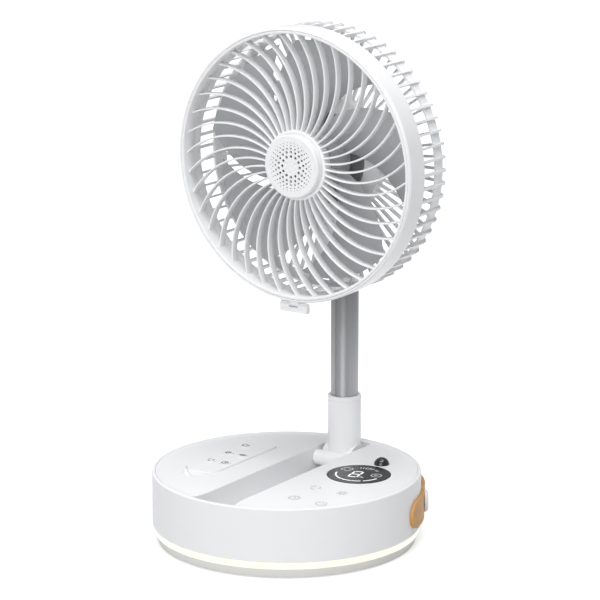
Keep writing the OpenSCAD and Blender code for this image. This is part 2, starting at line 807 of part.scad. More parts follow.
module outer_tube_cap() { color(white) guide_cap(outer_cap_r, middle_tube_r, outer_cap_z); }
module middle_tube_cap() { color(white) guide_cap(middle_cap_r, inner_tube_r, middle_cap_z); }

module slide_bush(r, bore, z) {
  translate([0, hinge_y, z]) tube(r, bore, bush_h);
}

module middle_slide_bush() {
  color(dark) slide_bush(outer_bore_r - fit, middle_tube_r, middle_foot_z);
}

module inner_slide_bush() { color(dark) slide_bush(middle_bore_r - fit, inner_tube_r, inner_foot_z); }

module tilt_tongue() {
  color(white) difference() {
    union() {
      translate([0, hinge_y, tongue_foot_z]) cylinder(r = middle_cap_r, h = tongue_foot_h);
      translate([0, hinge_y, tilt_z]) along_x(tongue_half) circle(r = tongue_r);
      translate([-tongue_half, hinge_y - tongue_half, tongue_foot_z + tongue_foot_h - over])
        cube([2 * tongue_half, 2 * tongue_half, tilt_z - tongue_foot_z - tongue_foot_h + over]);
    }
    translate([0, hinge_y, tilt_z]) along_x(tongue_half + over) circle(r = tilt_pin_r + fit);
    translate([0, hinge_y, tongue_foot_z - over]) cylinder(r = inner_tube_r, h = inner_top_z - tongue_foot_z + over);
  }
}

// Top hinge

module tilt_pin() {
  color(steel) translate([0, hinge_y, tilt_z]) along_x(arm_half + side_gap) circle(r = tilt_pin_r);
}

module tilt_pin_caps() {
  color(steel) translate([0, hinge_y, tilt_z]) for (side = [0, 1]) mirror([side, 0, 0])
    translate([arm_half + side_gap, 0, 0]) rotate([0, 90, 0]) cylinder(r = tilt_cap_r, h = tilt_cap_t);
}

// Head, modelled facing up: x to the right, y up and z forwards, with depth d at z = -d

module head_place() {
  translate([0, head_y, head_z]) rotate([90, 0, 0]) children();
}

// a ring turned from a profile of [radius, depth] points
module turned(points) {
  rotate_extrude() polygon([for (p = points) [p.x, -p.y]]);
}

// one swept spoke: an arc from the hub ring to the outer ring
module spoke() {
  r0 = hub_r - over;
  r1 = grille_in_r + over;
  p0 = r0 * [cos(spoke_hub_angle), sin(spoke_hub_angle)];
  p1 = r1 * [cos(spoke_hub_angle + spoke_turn), sin(spoke_hub_angle + spoke_turn)];
  chord = norm(p1 - p0);
  bow = spoke_bow_share * chord;
  arc_r = (chord * chord / 4 + bow * bow) / (2 * bow);
  along = (p1 - p0) / chord;
  centre = (p0 + p1) / 2 + (arc_r - bow) * [-along.y, along.x];
  start = atan2(p0.y - centre.y, p0.x - centre.x);
  translate([centre.x, centre.y, -spoke_set - spoke_d]) rotate([0, 0, start])
    rotate_extrude(angle = 2 * asin(chord / 2 / arc_r)) translate([arc_r - spoke_t / 2, 0]) square([spoke_t, spoke_d]);
}

module front_grille() {
  color(white) head_place() {
    turned([
      [grille_in_r, rim_round], [grille_in_r + rim_round * 0.6, 0], [grille_r - rim_round * 0.4, 0],
      [grille_r, rim_round * 0.4], [grille_r, grille_ring_d], [grille_in_r, grille_ring_d]
    ]);
    turned([
      [hub_r - hub_ring_w, hub_front_d + rim_round], [hub_r - rim_round, hub_front_d], [hub_r, hub_front_d + rim_round],
      [hub_r, hub_ring_d], [hub_r - hub_ring_w, hub_ring_d]
    ]);
    for (i = [0:spokes - 1]) rotate([0, 0, i * 360 / spokes]) spoke();
  }
}

module hub_cap() {
  color(white) head_place() difference() {
    turned([
      [0, -cap_ahead], [cap_face_r, -cap_ahead], [cap_r, rim_round - cap_ahead], [cap_r, cap_skirt + rim_round],
      [cap_r - cap_wall, cap_skirt + rim_round], [cap_r - cap_wall, cap_face_t - cap_ahead],
      [0, cap_face_t - cap_ahead]
    ]);
    for (k = [2:cap_rings], i = [0:6 * k - 1]) rotate([0, 0, 90 + i * 60 / k])
      translate([cap_r * cap_ring_shares[k - 1], 0, -over])
        cylinder(d = cap_hole * cap_hole_shares[k - 1], h = cap_ahead + 2 * over, $fn = 24);
    for (i = [0:6]) rotate([0, 0, 90 + i * 60])
      translate([i == 6 ? 0 : cap_r * cap_ring_shares[0], 0, cap_ahead - cap_face_t / 3])
        cylinder(d = cap_hole, h = over, $fn = 24);
  }
}

module hub_backing() {
  color(pale_grey) head_place() translate([0, 0, -cap_skirt - rim_round - backing_t])
    cylinder(r = cap_r, h = backing_t);
}

module shroud_band() {
  color(white) head_place() difference() {
    union() {
      turned([
        [grille_r + seam, rim_round * 0.4], [grille_r + seam + lip_t * 0.35, 0], [head_r - rim_round * 0.8, rim_round * 0.5],
        [head_r, 2 * rim_round], [head_r - seam, band_d], [cage_in_r, band_d], [cage_in_r, grille_ring_d + seam],
        [grille_r + seam, grille_ring_d + seam]
      ]);
      translate([-latch_ear_half, -latch_pin_y, -latch_d - latch_knuckle_r])
        cube([2 * latch_ear_half, latch_pin_y - head_r + band_t / 2, 2 * latch_knuckle_r]);
      translate([0, -latch_pin_y, -latch_d]) along_x(latch_ear_half) circle(r = latch_knuckle_r);
    }
    translate([0, -latch_pin_y, -latch_d]) along_x(latch_w) circle(r = latch_pin_r + fit);
  }
}

// one fin of the cage: down the side, round the corner and in across the back to the hub ring
module fin() {
  steps = 4;
  corner = [for (i = [0:steps]) [cage_out_r - fin_corner + fin_corner * cos(i * 90 / steps),
    head_d - fin_corner + fin_corner * sin(i * 90 / steps)]];
  rotate([90, 0, 0]) translate([0, 0, -fin_t / 2]) linear_extrude(fin_t) polygon([for (p = concat(
    [[cage_in_r + fin_root, band_d + fin_root], [cage_out_r, band_d + fin_root]], corner,
    [[housing_r + cage_hub_t / 2, head_d], [housing_r + cage_hub_t / 2, head_d - fin_rear_t],
      [cage_in_r - fin_rear_t, head_d - fin_rear_t], [cage_in_r + fin_root, head_d - 2 * fin_rear_t]]
  )) [p.x, -p.y]]);
}

module rear_cage() {
  color(white) head_place() difference() {
    union() {
      turned([
        [cage_in_r, rear_ring_d], [rear_ring_r, rear_ring_d], [rear_ring_r, head_d - fin_corner],
        [rear_ring_r - fin_corner / 2, head_d - rim_round * 2], [cage_in_r - fin_root, head_d - fin_rear_t - fin_root],
        [cage_in_r, head_d - 2 * fin_rear_t]
      ]);
      turned([
        [cage_in_r, band_d], [cage_out_r - rim_round, band_d], [cage_out_r - rim_round, band_d + 2 * rim_round],
        [cage_in_r, band_d + 2 * rim_round]
      ]);
      for (i = [0:fins - 1]) rotate([0, 0, i * 360 / fins]) fin();
      turned([
        [housing_r + seam / 2, mount_d], [housing_r + cage_hub_t, mount_d],
        [housing_r + cage_hub_t, head_d - fin_root], [housing_r + seam / 2, head_d - fin_root]
      ]);
    }
    arm_bed();
  }
}

module motor_mount() {
  color(white) head_place() difference() {
    union() {
      turned([
        [bearing_r, mount_d], [housing_r, mount_d], [housing_r, cover_d], [housing_r - mount_t, cover_d],
        [housing_r - mount_t, mount_d + mount_t], [boss_r, mount_d + mount_t], [boss_r, cover_d - mount_t],
        [bearing_r, cover_d - mount_t]
      ]);
      arm_screw_places() translate([0, 0, arm_t - head_d]) cylinder(r = arm_boss_r, h = head_d - arm_t - mount_d);
    }
    arm_bed();
    arm_screw_places() translate([0, 0, -head_d]) cylinder(r = screw_r + fit, h = head_d - mount_d - over / 2);
  }
}

module rear_cover() {
  color(white) head_place() difference() {
    turned([[0, cover_d], [housing_r, cover_d], [housing_r, head_d - rim_round * 0.6], [housing_r - rim_round, head_d], [0, head_d]]);
    arm_bed();
  }
}

module arm_screw_places() {
  for (s = [-1, 1]) translate([s * arm_half / 2, arm_screw_in - housing_r, 0]) children();
}

// plan of the arm in the cage's back: straight sides and a round top end
module arm_plan(grow) {
  translate([-arm_half - grow, -arm_bottom - grow]) square([2 * (arm_half + grow), arm_bottom - arm_top - arm_half / 2 + grow]);
  translate([-arm_half / 2 - grow, -arm_bottom - grow]) square([arm_half + 2 * grow, arm_bottom - arm_top + 2 * grow]);
  for (s = [-1, 1]) translate([s * arm_half / 2, -arm_top - arm_half / 2]) circle(r = arm_half / 2 + grow);
}

module arm_bed() {
  translate([0, 0, -head_d - over]) linear_extrude(arm_t + over + seam / 2) arm_plan(seam / 2);
}

// the arm lies in the cage's back and carries two lugs for the tilt pin
module tilt_arm() {
  reach = tilt_d - head_d + arm_t / 2;
  color(white) head_place() difference() {
    union() {
      translate([0, 0, -head_d]) linear_extrude(arm_t) arm_plan(0);
      for (side = [0, 1]) mirror([side, 0, 0]) translate([arm_half - lug_t, -hinge_drop, -tilt_d])
        rotate([90, 0, 90]) linear_extrude(lug_t) {
          circle(r = tongue_r);
          polygon([
            [-tongue_r * cos(lug_slope), tongue_r * sin(lug_slope)],
            [-tongue_r / cos(lug_slope) + reach * tan(lug_slope), reach],
            [2.2 * tongue_r, reach], [tongue_r * 0.7, tongue_r * 0.7]
          ]);
        }
    }
    translate([0, -hinge_drop, -tilt_d]) along_x(arm_half + over) circle(r = tilt_pin_r + fit);
    arm_screw_places() translate([0, 0, -head_d - over]) cylinder(r = screw_hole_r, h = head_d);
    arm_screw_places() translate([0, 0, -head_d - over]) cylinder(r = screw_head_r + seam, h = screw_head_h + over);
  }
}

module arm_screws() {
  color(steel) head_place() arm_screw_places() {
    translate([0, 0, -head_d]) cylinder(r = screw_head_r, h = screw_head_h);
    translate([0, 0, -head_d]) cylinder(r = screw_r, h = head_d - mount_d - over);
  }
}

module motor_stator() {
  color([0.7, 0.4, 0.2]) head_place() turned([
    [bearing_r + over, stator_front_d], [stator_r, stator_front_d], [stator_r, rotor_back_d - 2 * over],
    [boss_r, rotor_back_d - 2 * over], [boss_r, plate_d], [plate_r, plate_d], [plate_r, mount_d],
    [bearing_r + over, mount_d]
  ]);
}

module motor_bearings() {
  color(steel) head_place() for (d = [stator_front_d + over, mount_d + over])
    turned([[shaft_r + fit, d], [bearing_r + (d < mount_d ? over : 0), d], [bearing_r + (d < mount_d ? over : 0), d + 4 * over],
      [shaft_r + fit, d + 4 * over]]);
}

// Rotor

function gap_at(r) = gap_angle - gap_turn * (r - rotor_hub_r) / (blade_r - rotor_hub_r);
function mix(a, b, t) = a + (b - a) * t;
// a point of the blade's front (side 1) or back (side -1) face
function blade_point(i, j, side) =
  let (u = i / blade_steps, t = j / chord_steps,
    r = mix(rotor_hub_r - hub_wall / 2, blade_r, u),
    a = gap_at(r) + mix(gap_width_angle / 2, 360 / blades - gap_width_angle / 2, t),
    back = mix(root_back_d, blade_back_d, u), front = mix(root_front_d, blade_front_d, u),
    d = mix(back, front, t) - sin(180 * t) * (back - front) * 0.12,
    thick = blade_t * mix(1, 0.7, u) * mix(blade_edge_share, 1, sin(180 * t)))
  [r * cos(a), r * sin(a), -d + side * thick / 2];
module blade() {
  row = chord_steps + 1;
  count = row * (blade_steps + 1);
  points = [for (side = [1, -1], i = [0:blade_steps], j = [0:chord_steps]) blade_point(i, j, side)];
  faces = concat(
    [for (i = [0:blade_steps - 1], j = [0:chord_steps - 1], k = [0, 1]) let (p = i * row + j)
      k == 0 ? [p, p + 1, p + row] : [p + 1, p + row + 1, p + row]],
    [for (i = [0:blade_steps - 1], j = [0:chord_steps - 1], k = [0, 1]) let (p = count + i * row + j)
      k == 0 ? [p, p + row, p + 1] : [p + 1, p + row, p + row + 1]],
    [for (j = [0:chord_steps - 1], k = [0, 1])
      k == 0 ? [j, count + j, j + 1] : [j + 1, count + j, count + j + 1]],
    [for (j = [0:chord_steps - 1], k = [0, 1]) let (p = blade_steps * row + j)
      k == 0 ? [p, p + 1, count + p] : [p + 1, count + p + 1, count + p]],
    [for (i = [0:blade_steps - 1], k = [0, 1]) let (p = i * row)
      k == 0 ? [p, p + row, count + p] : [p + row, count + p + row, count + p]],
    [for (i = [0:blade_steps - 1], k = [0, 1]) let (p = i * row + chord_steps)
      k == 0 ? [p, count + p, p + row] : [p + row, count + p, count + p + row]]
  );
  polyhedron(points = points, faces = faces, convexity = 6);
}

module fan_blade() {
  color(white) head_place() {
    turned([
      [shaft_r + fit, rotor_front_d + rim_round], [spinner_r + seam, rotor_front_d + rim_round],
      [spinner_r + seam, rotor_front_d], [rotor_hub_r - 2 * rim_round, rotor_front_d],
      [rotor_hub_r, rotor_front_d + 2 * rim_round],
      [rotor_hub_r, rotor_back_d], [rotor_hub_r - hub_wall, rotor_back_d],
      [rotor_hub_r - hub_wall, rotor_front_d + 2 * hub_wall], [shaft_r + fit, rotor_front_d + 2 * hub_wall]
    ]);
    for (i = [0:blades - 1]) rotate([0, 0, i * 360 / blades]) blade();
  }
}

module motor_bell() {
  color(dark) head_place() turned([
    [stator_r + over, rotor_front_d + 2 * hub_wall + rim_round], [stator_r + over, rotor_back_d - rim_round],
    [rotor_hub_r - hub_wall, rotor_back_d - rim_round], [rotor_hub_r - hub_wall, rotor_front_d + 2 * hub_wall],
    [boss_r, rotor_front_d + 2 * hub_wall], [boss_r, rotor_front_d + 2 * hub_wall + rim_round]
  ]);
}

module motor_shaft() {
  color(steel) head_place() translate([0, 0, -mount_d - 5 * over])
    cylinder(r = shaft_r, h = mount_d + 5 * over - rotor_front_d + 2 * over);
}

module blade_nut() {
  color(dark) head_place() turned([
    [shaft_r, rotor_front_d - 3 * rim_round], [spinner_r * 0.4, rotor_front_d - 3 * rim_round],
    [spinner_r * 0.85, rotor_front_d - 2 * rim_round], [spinner_r, rotor_front_d],
    [spinner_r, rotor_front_d + rim_round], [shaft_r, rotor_front_d + rim_round]
  ]);
}

// Latch under the front rim

latch_d = 4.4;
latch_pin_r = 0.9;
latch_knuckle_r = 1.9;
latch_gap = 0.3;
latch_ear_half = 4;
latch_pin_y = head_r + latch_knuckle_r + latch_gap;
latch_line = 0.6;
module latch_tab() {
  color(white) head_place() difference() {
    union() {
      translate([-latch_w / 2, -head_r - latch_h, -latch_d - latch_t / 2])
        cube([latch_w, head_r + latch_h - latch_pin_y, latch_t]);
      translate([0, -latch_pin_y, -latch_d]) along_x(latch_w / 2) circle(r = latch_knuckle_r);
    }
    translate([0, -latch_pin_y, -latch_d]) along_x(latch_w) circle(r = latch_pin_r + fit);
    translate([-latch_ear_half - seam, -latch_pin_y - latch_knuckle_r - latch_gap, -latch_d - latch_t])
      cube([2 * (latch_ear_half + seam), 3 * latch_knuckle_r, 2 * latch_t]);
    translate([-latch_w, -head_r - latch_h * 0.72, -latch_d + latch_t / 2 - latch_line / 2]) cube([2 * latch_w, latch_line, latch_t]);
  }
}

module latch_pin() {
  color(steel) head_place() translate([0, -latch_pin_y, -latch_d]) along_x(latch_w / 2) circle(r = latch_pin_r);
}

// Remote

module remote_bottom() {
  color(white) translate([remote_x, remote_y, remote_z]) difference() {
    round_plate(remote_w, remote_l, remote_corner, remote_split - seam / 2);
    translate([0, 0, remote_wall]) round_plate(remote_w - 2 * remote_wall, remote_l - 2 * remote_wall,
      remote_corner - remote_wall, remote_t);
  }
}

module remote_top() {
  color(white) translate([remote_x, remote_y, remote_z + remote_split]) difference() {
    union() {
      round_plate(remote_w, remote_l, remote_corner, remote_t - remote_split - rim_round);
      translate([0, 0, remote_t - remote_split - rim_round])
        round_plate(remote_w - rim_round, remote_l - rim_round, remote_corner - rim_round / 2, rim_round);
    }
    translate([0, 0, -over]) round_plate(remote_w - 2 * remote_wall, remote_l - 2 * remote_wall,
      remote_corner - remote_wall, remote_t - remote_split - remote_wall + over);
    key_places() translate([0, 0, -over]) cylinder(r = key_r + key_gap, h = remote_t);
  }
}

module remote_board() {
  color(board_green) translate([remote_x, remote_y, remote_z + remote_t - remote_wall - key_flange - 2 * side_gap - key_travel - board_t])
    round_plate(remote_w - 2 * remote_wall - 2 * seam, remote_l - 2 * remote_wall - 2 * seam, remote_corner - remote_wall, board_t);
}

module remote_cell() {
  color(steel) translate([remote_x, remote_y - remote_l / 2 + cell_r + 2 * remote_wall, remote_z + remote_wall])
    cylinder(r = cell_r, h = cell_t);
}

function key_place(i) = [key_col_x[i % 2], key_pitch_y * key_row_shares[floor(i / 2)], 0];
module key_places() { for (i = [0:4]) translate(key_place(i)) children(); }

module key(i) {
  color(white) translate([remote_x, remote_y, remote_z + remote_t - remote_wall - key_flange - side_gap]) translate(key_place(i)) {
    translate([0, 0, key_flange]) cylinder(r = key_r, h = remote_wall + side_gap + key_proud);
    cylinder(r = key_r + remote_wall / 2, h = key_flange);
  }
}
module key_speed() { key(0); }
module key_timer() { key(1); }
module key_light() { key(2); }
module key_mode() { key(3); }
module key_power() { key(4); }

base_shell();
top_panel();
bottom_cover();
foot_ring();
light_ring();
led_board();
rubber_feet();
case_screws();
ballast_plate();
battery_cells();
battery_tray();
main_board();
charge_port();
display_lens();
display_board();
touch_board();
receiver_dome();
hinge_brackets();
base_hinge_pin();
hinge_washers();
strap();
strap_studs();
pole_sleeve();
sleeve_collar();
outer_tube();
outer_tube_cap();
middle_tube();
middle_tube_cap();
middle_slide_bush();
inner_tube();
inner_slide_bush();
tilt_tongue();
tilt_pin();
tilt_pin_caps();
front_grille();
hub_cap();
hub_backing();
shroud_band();
rear_cage();
motor_mount();
rear_cover();
tilt_arm();
arm_screws();
motor_stator();
motor_bearings();
fan_blade();
motor_bell();
motor_shaft();
blade_nut();
latch_tab();
latch_pin();
remote_top();
remote_bottom();
remote_board();
remote_cell();
key_power();
key_speed();
key_timer();
key_light();
key_mode();
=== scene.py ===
"""Dresses the fold-flat rechargeable fan: base, pole, grilled head, carry strap and remote."""

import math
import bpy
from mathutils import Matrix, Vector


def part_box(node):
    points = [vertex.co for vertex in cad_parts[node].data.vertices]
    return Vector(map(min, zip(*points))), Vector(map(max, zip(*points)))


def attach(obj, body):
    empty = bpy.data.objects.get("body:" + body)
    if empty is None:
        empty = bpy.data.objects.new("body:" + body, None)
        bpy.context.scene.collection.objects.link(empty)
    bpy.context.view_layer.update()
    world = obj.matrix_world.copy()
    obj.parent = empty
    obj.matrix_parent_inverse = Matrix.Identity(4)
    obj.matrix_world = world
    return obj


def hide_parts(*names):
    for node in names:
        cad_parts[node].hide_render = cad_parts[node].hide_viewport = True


bl_info = {
    "name": "Foldable table fan",
    "version": (1, 0, 0),
    "blender": (4, 5, 0),
    "location": "View3D > Sidebar > Fan",
    "description": "Builds the surfaces and finishes of a fold-flat rechargeable fan",
    "category": "Object",
}

import bmesh
import bpy
from bpy.props import FloatProperty, FloatVectorProperty, IntProperty, PointerProperty
from mathutils import Matrix, Vector

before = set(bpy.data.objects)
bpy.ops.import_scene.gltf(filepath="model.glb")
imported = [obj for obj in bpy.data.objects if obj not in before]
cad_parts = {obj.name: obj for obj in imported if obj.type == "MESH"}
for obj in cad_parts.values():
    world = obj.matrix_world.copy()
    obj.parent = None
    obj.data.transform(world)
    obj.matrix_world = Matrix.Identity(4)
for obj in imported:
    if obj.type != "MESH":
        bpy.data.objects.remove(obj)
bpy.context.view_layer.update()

MM = 0.001
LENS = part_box("display_lens")
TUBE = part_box("outer_tube")
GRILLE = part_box("front_grille")
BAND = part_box("shroud_band")
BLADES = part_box("fan_blade")


def middle(box):
    return (box[0] + box[1]) / 2


# the head is built lying on its back: x to the right, y up and z forwards from the front ring
HEAD_MIDDLE = Vector((0.0, BAND[0].y, middle(GRILLE).z))
HEAD = Matrix.Translation(HEAD_MIDDLE) @ Matrix.Rotation(math.radians(90), 4, "X")

# an edge stays crisp where its faces meet at more than this angle
CRISP = 35.0
CRISP_MARK = 30.0
CRISP_CURVED = 50.0
# points closer than this become one
WELD = 1e-7

# finishes
RING_LAMPS = 24
GRAIN_HEIGHT = 0.2 * MM
STREAK_HEIGHT = 0.1 * MM
STREAK_CONTRAST = 0.25
NOISE_SPAN = (0.3, 0.7)  # where nearly all of a noise's values lie
PEBBLE_RELIEF = 1.6  # how far the hide's pebbles stand out against its creases

# touch marks on the panel: which, their places in mm, and what icon() takes for them all
TOUCH_MARKS = (
    ("fan", 44.8, -27.3), ("light", 69.8, -27.3), ("timer", 45.8, -57.3), ("power", 70.8, -58.3))
TOUCH_LINE = 0.9  # their line, as a share of the keys' line
TOUCH_SHAPE = {"gap": 30, "ray": 1.1}
# the remote's keys, the mark on each, and what icon() takes for them all
KEY_MARKS = {"power": "power", "speed": "fan", "timer": "timer", "light": "light", "mode": "air"}
KEY_SHAPE = {"gap": 35, "ray": 1.15}

# the display's figure: its bars from end to end, in halves of its width
FIGURE_BARS = (
    ((-0.8, 2), (0.8, 2)), ((-0.8, 0), (0.8, 0)), ((-0.8, -2), (0.8, -2)), ((-1, 1.8), (-1, 0.2)),
    ((1, 1.8), (1, 0.2)), ((-1, -0.2), (-1, -1.8)), ((1, -0.2), (1, -1.8)))
# the rest of the display: angles in degrees, lengths as shares of the lens's radius
DISPLAY_TURN = 16.5
LIT_LINE, DIM_LINE = 0.046, 0.034
SCALE_RADIUS, SCALE_LINE = 0.72, 0.042
SCALE_PARTS = ((177, 205), (206.5, 236), (237.5, 266), (267.5, 290), (296, 335))
LEVEL_BAND = (0.6, 0.72)
LEVEL_BARS = (100, 93, 86, 72, 65, 52, 45)
LEVEL_FRAME = (72, 86)

# camera: angles in degrees, and its way from the middle of the floor in metres
CAMERA_AZIMUTH, CAMERA_ELEVATION = 33.84, 13.77
CAMERA_RIGHT, CAMERA_UP, CAMERA_BACK = 0.01043, 0.18586, 2.3992


# sizes and colours a user would change


def length_property(name, description, millimetres):
    return FloatProperty(
        name=name, description=description, default=millimetres * MM, unit="LENGTH")


def angle_property(name, description, degrees):
    return FloatProperty(
        name=name, description=description, default=math.radians(degrees), subtype="ANGLE")


def colour_property(name, description, value):
    return FloatVectorProperty(
        name=name, description=description, default=value, subtype="COLOR", size=3, min=0.0,
        max=1.0)


def power_property(name, description, watts):
    return FloatProperty(
        name=name, description=description, default=watts, min=0.0, unit="POWER")


class FanBaseSizes(bpy.types.PropertyGroup):
    lamp_strength: FloatProperty(
        name="Lamp strength", description="How brightly the lamp ring glows", default=0.86,
        min=0.0, max=4.0)
    mark_width: length_property("Mark width", "Line width of the printed key marks", 0.85)
    icon_size: length_property("Touch mark size", "Height of a touch mark on the panel", 8.4)


class FanHeadSizes(bpy.types.PropertyGroup):
    spokes: IntProperty(
        name="Spokes", description="Number of swept spokes in the front grille", default=40,
        min=24, max=60)
    spoke_width: length_property("Spoke width", "Thickness of a spoke", 1.35)
    spoke_depth: length_property("Spoke depth", "Depth of a spoke from front to back", 6.8)
    spoke_set: length_property("Spoke set", "How far the spokes lie behind the front rim", 5.5)
    spoke_start: angle_property("Spoke start", "Angle of the first spoke at the hub", 8.6)
    spoke_turn: angle_property("Spoke turn", "Angle by which a spoke turns on its way out", 19)
    spoke_bow: FloatProperty(
        name="Spoke bow", description="Bow of a spoke as a share of its length", default=0.159,
        min=0.0, max=0.4)
    ring_width: length_property("Ring width", "Width of the grille's outer ring", 2.2)
    hub_radius: length_property("Hub radius", "Radius of the grille's hub ring", 27.3)
    hub_width: length_property("Hub ring width", "Width of the grille's hub ring", 2.6)
    blades: IntProperty(name="Blades", description="Number of fan blades", default=5, min=3, max=9)
    blade_gap: angle_property("Blade gap", "Angle between two blades", 16)
    blade_place: angle_property("Blade place", "Angle of the first gap at the hub", 78.6)
    blade_tip: length_property("Blade tip", "Radius of the blades at their tips", 94)
    blade_sweep: angle_property(
        "Blade sweep", "Angle by which a blade turns back from hub to tip", 44.2)
    blade_thickness: length_property(
        "Blade thickness", "Thickness of a blade at its middle", 1.8)
    rotor_hub: length_property("Rotor hub", "Radius of the rotor's hub", 26)


class FanColours(bpy.types.PropertyGroup):
    casing: colour_property("Casing", "Colour of the white mouldings", (0.9, 0.903, 0.91))
    # painted light: the same white moulding as the casing, made lighter to make up for the light
    # the head keeps off the pole
    sleeve: colour_property("Sleeve", "Colour of the sleeve and collars", (0.96, 0.962, 0.966))
    grille: colour_property("Grille", "Colour of the head's grille and cage", (0.9, 0.903, 0.91))
    # painted shade: the blades are white mouldings, and this grey stands in for the shade they lie
    # in inside the head
    blade: colour_property("Blades", "Colour of the fan blades", (0.47, 0.48, 0.49))
    foot: colour_property("Foot ring", "Colour of the grey foot ring", (0.88, 0.875, 0.84))
    tube: colour_property("Tube", "Colour of the metal tubes", (0.42, 0.425, 0.435))
    leather: colour_property("Strap", "Colour of the leather strap", (0.62, 0.33, 0.1))
    lens: colour_property("Lens", "Colour of the display's lens", (0.016, 0.018, 0.02))
    mark: colour_property("Key marks", "Colour of the marks on the keys", (0.09, 0.095, 0.1))
    touch: colour_property("Touch marks", "Colour of the faint touch marks", (0.55, 0.56, 0.57))
    motor: colour_property("Motor", "Colour of the motor's stator", (0.17, 0.175, 0.18))
    lamp: colour_property("Lamp", "Colour of the lit lamp ring", (1.0, 0.985, 0.82))


class FanStageSettings(bpy.types.PropertyGroup):
    key: power_property("Key light", "Power of the large light in front", 20.0)
    top: power_property("Top light", "Power of the light above", 40.0)
    side: power_property("Side light", "Power of the small light on the left", 0.8)
    ambient: FloatProperty(
        name="Ambient", description="Strength of the light from all round", default=0.36,
        min=0.0, max=2.0)
    lens: FloatProperty(
        name="Focal length", description="Camera focal length in millimetres", default=183.47,
        min=10.0)


# node building


FLOAT, WHOLE, COLOUR, VECTOR, GEOMETRY, MATERIAL = (
    "NodeSocket" + kind for kind in ("Float", "Int", "Color", "Vector", "Geometry", "Material"))
SURFACE = (("Colour", COLOUR), ("Roughness", FLOAT), ("Normal", VECTOR))


def shared(name, build):
    """The node group of that name, built on its first use."""
    return bpy.data.node_groups.get(name) or build(name)


def new_tree(name, kind, inputs, outputs):
    """A node group with named inputs and outputs: its tree, what it is given, what it ends in."""
    tree = bpy.data.node_groups.new(name, kind)
    for label, socket, *value in inputs:
        made = tree.interface.new_socket(label, in_out="INPUT", socket_type=socket)
        if value:
            made.default_value = value[0]
    for label, socket in outputs:
        tree.interface.new_socket(label, in_out="OUTPUT", socket_type=socket)
    start, end = tree.nodes.new("NodeGroupInput"), tree.nodes.new("NodeGroupOutput")
    return tree, start.outputs, end.inputs


def give(tree, target, value):
    """Links an output to an input, or sets the input's own value."""
    if isinstance(value, bpy.types.NodeSocket):
        tree.links.new(value, target)
    else:
        target.default_value = value


def add(tree, kind, settings=None, **inputs):
    """A node with its settings, and its inputs given by name with _ for a space."""
    made = tree.nodes.new(kind)
    for key, value in (settings or {}).items():
        setattr(made, key, value)
    for key, value in inputs.items():
        give(tree, made.inputs[key.replace("_", " ")], value)
    return made


def fed(tree, kind, *values, **settings):
    """The first output of a node whose inputs are given in their order."""
    made = add(tree, kind, settings)
    for target, value in zip(made.inputs, values):
        give(tree, target, value)
    return made.outputs[0]


def maths(tree, operation, *values):
    return fed(tree, "ShaderNodeMath", *values, operation=operation)


def mapped(tree, value, start, end):
    """A value taken from its range at the start to its range at the end, and kept inside it."""
    return fed(tree, "ShaderNodeMapRange", value, *start, *end)


def noise(tree, place, **settings):
    return add(tree, "ShaderNodeTexNoise", Vector=place, **settings).outputs["Fac"]


def scaled(tree, colour, factor):
    """A colour made lighter or darker by a factor."""
    return add(tree, "ShaderNodeVectorMath", {"operation": "SCALE"}, Vector=colour,
               Scale=factor).outputs["Vector"]


def on_object(tree):
    """The place of a point on the object, which all patterns follow."""
    return add(tree, "ShaderNodeTexCoord").outputs["Object"]


def end_surface(tree, ends, colour, roughness, relief, depth, height):
    """Ends an effect with its colour, its roughness and the normal of its relief."""
    bump = add(tree, "ShaderNodeBump", Strength=depth, Distance=height, Height=relief)
    for (label, _), value in zip(SURFACE, (colour, roughness, bump.outputs["Normal"])):
        tree.links.new(value, ends[label])
    return tree


def moulded_grain(name):
    """Fine spark-eroded grain with a slow drift of tone, for moulded plastic."""
    tree, given, ends = new_tree(name, "ShaderNodeTree", [
        ("Colour", COLOUR, (0.8, 0.8, 0.8, 1)), ("Grain", FLOAT, 1800.0), ("Depth", FLOAT, 0.02),
        ("Drift", FLOAT, 0.02), ("Roughness", FLOAT, 0.4), ("Spread", FLOAT, 0.06)], SURFACE)
    place = on_object(tree)
    grain = noise(tree, place, Scale=given["Grain"], Detail=2.0)
    cloud = noise(tree, place, Scale=14.0, Detail=1.0)
    tone = maths(tree, "SUBTRACT", 1.0, maths(tree, "MULTIPLY", cloud, given["Drift"]))
    centred = maths(tree, "SUBTRACT", grain, 0.5)
    rough = maths(tree, "MULTIPLY_ADD", centred, given["Spread"], given["Roughness"])
    colour = scaled(tree, given["Colour"], tone)
    return end_surface(tree, ends, colour, rough, grain, given["Depth"], GRAIN_HEIGHT)


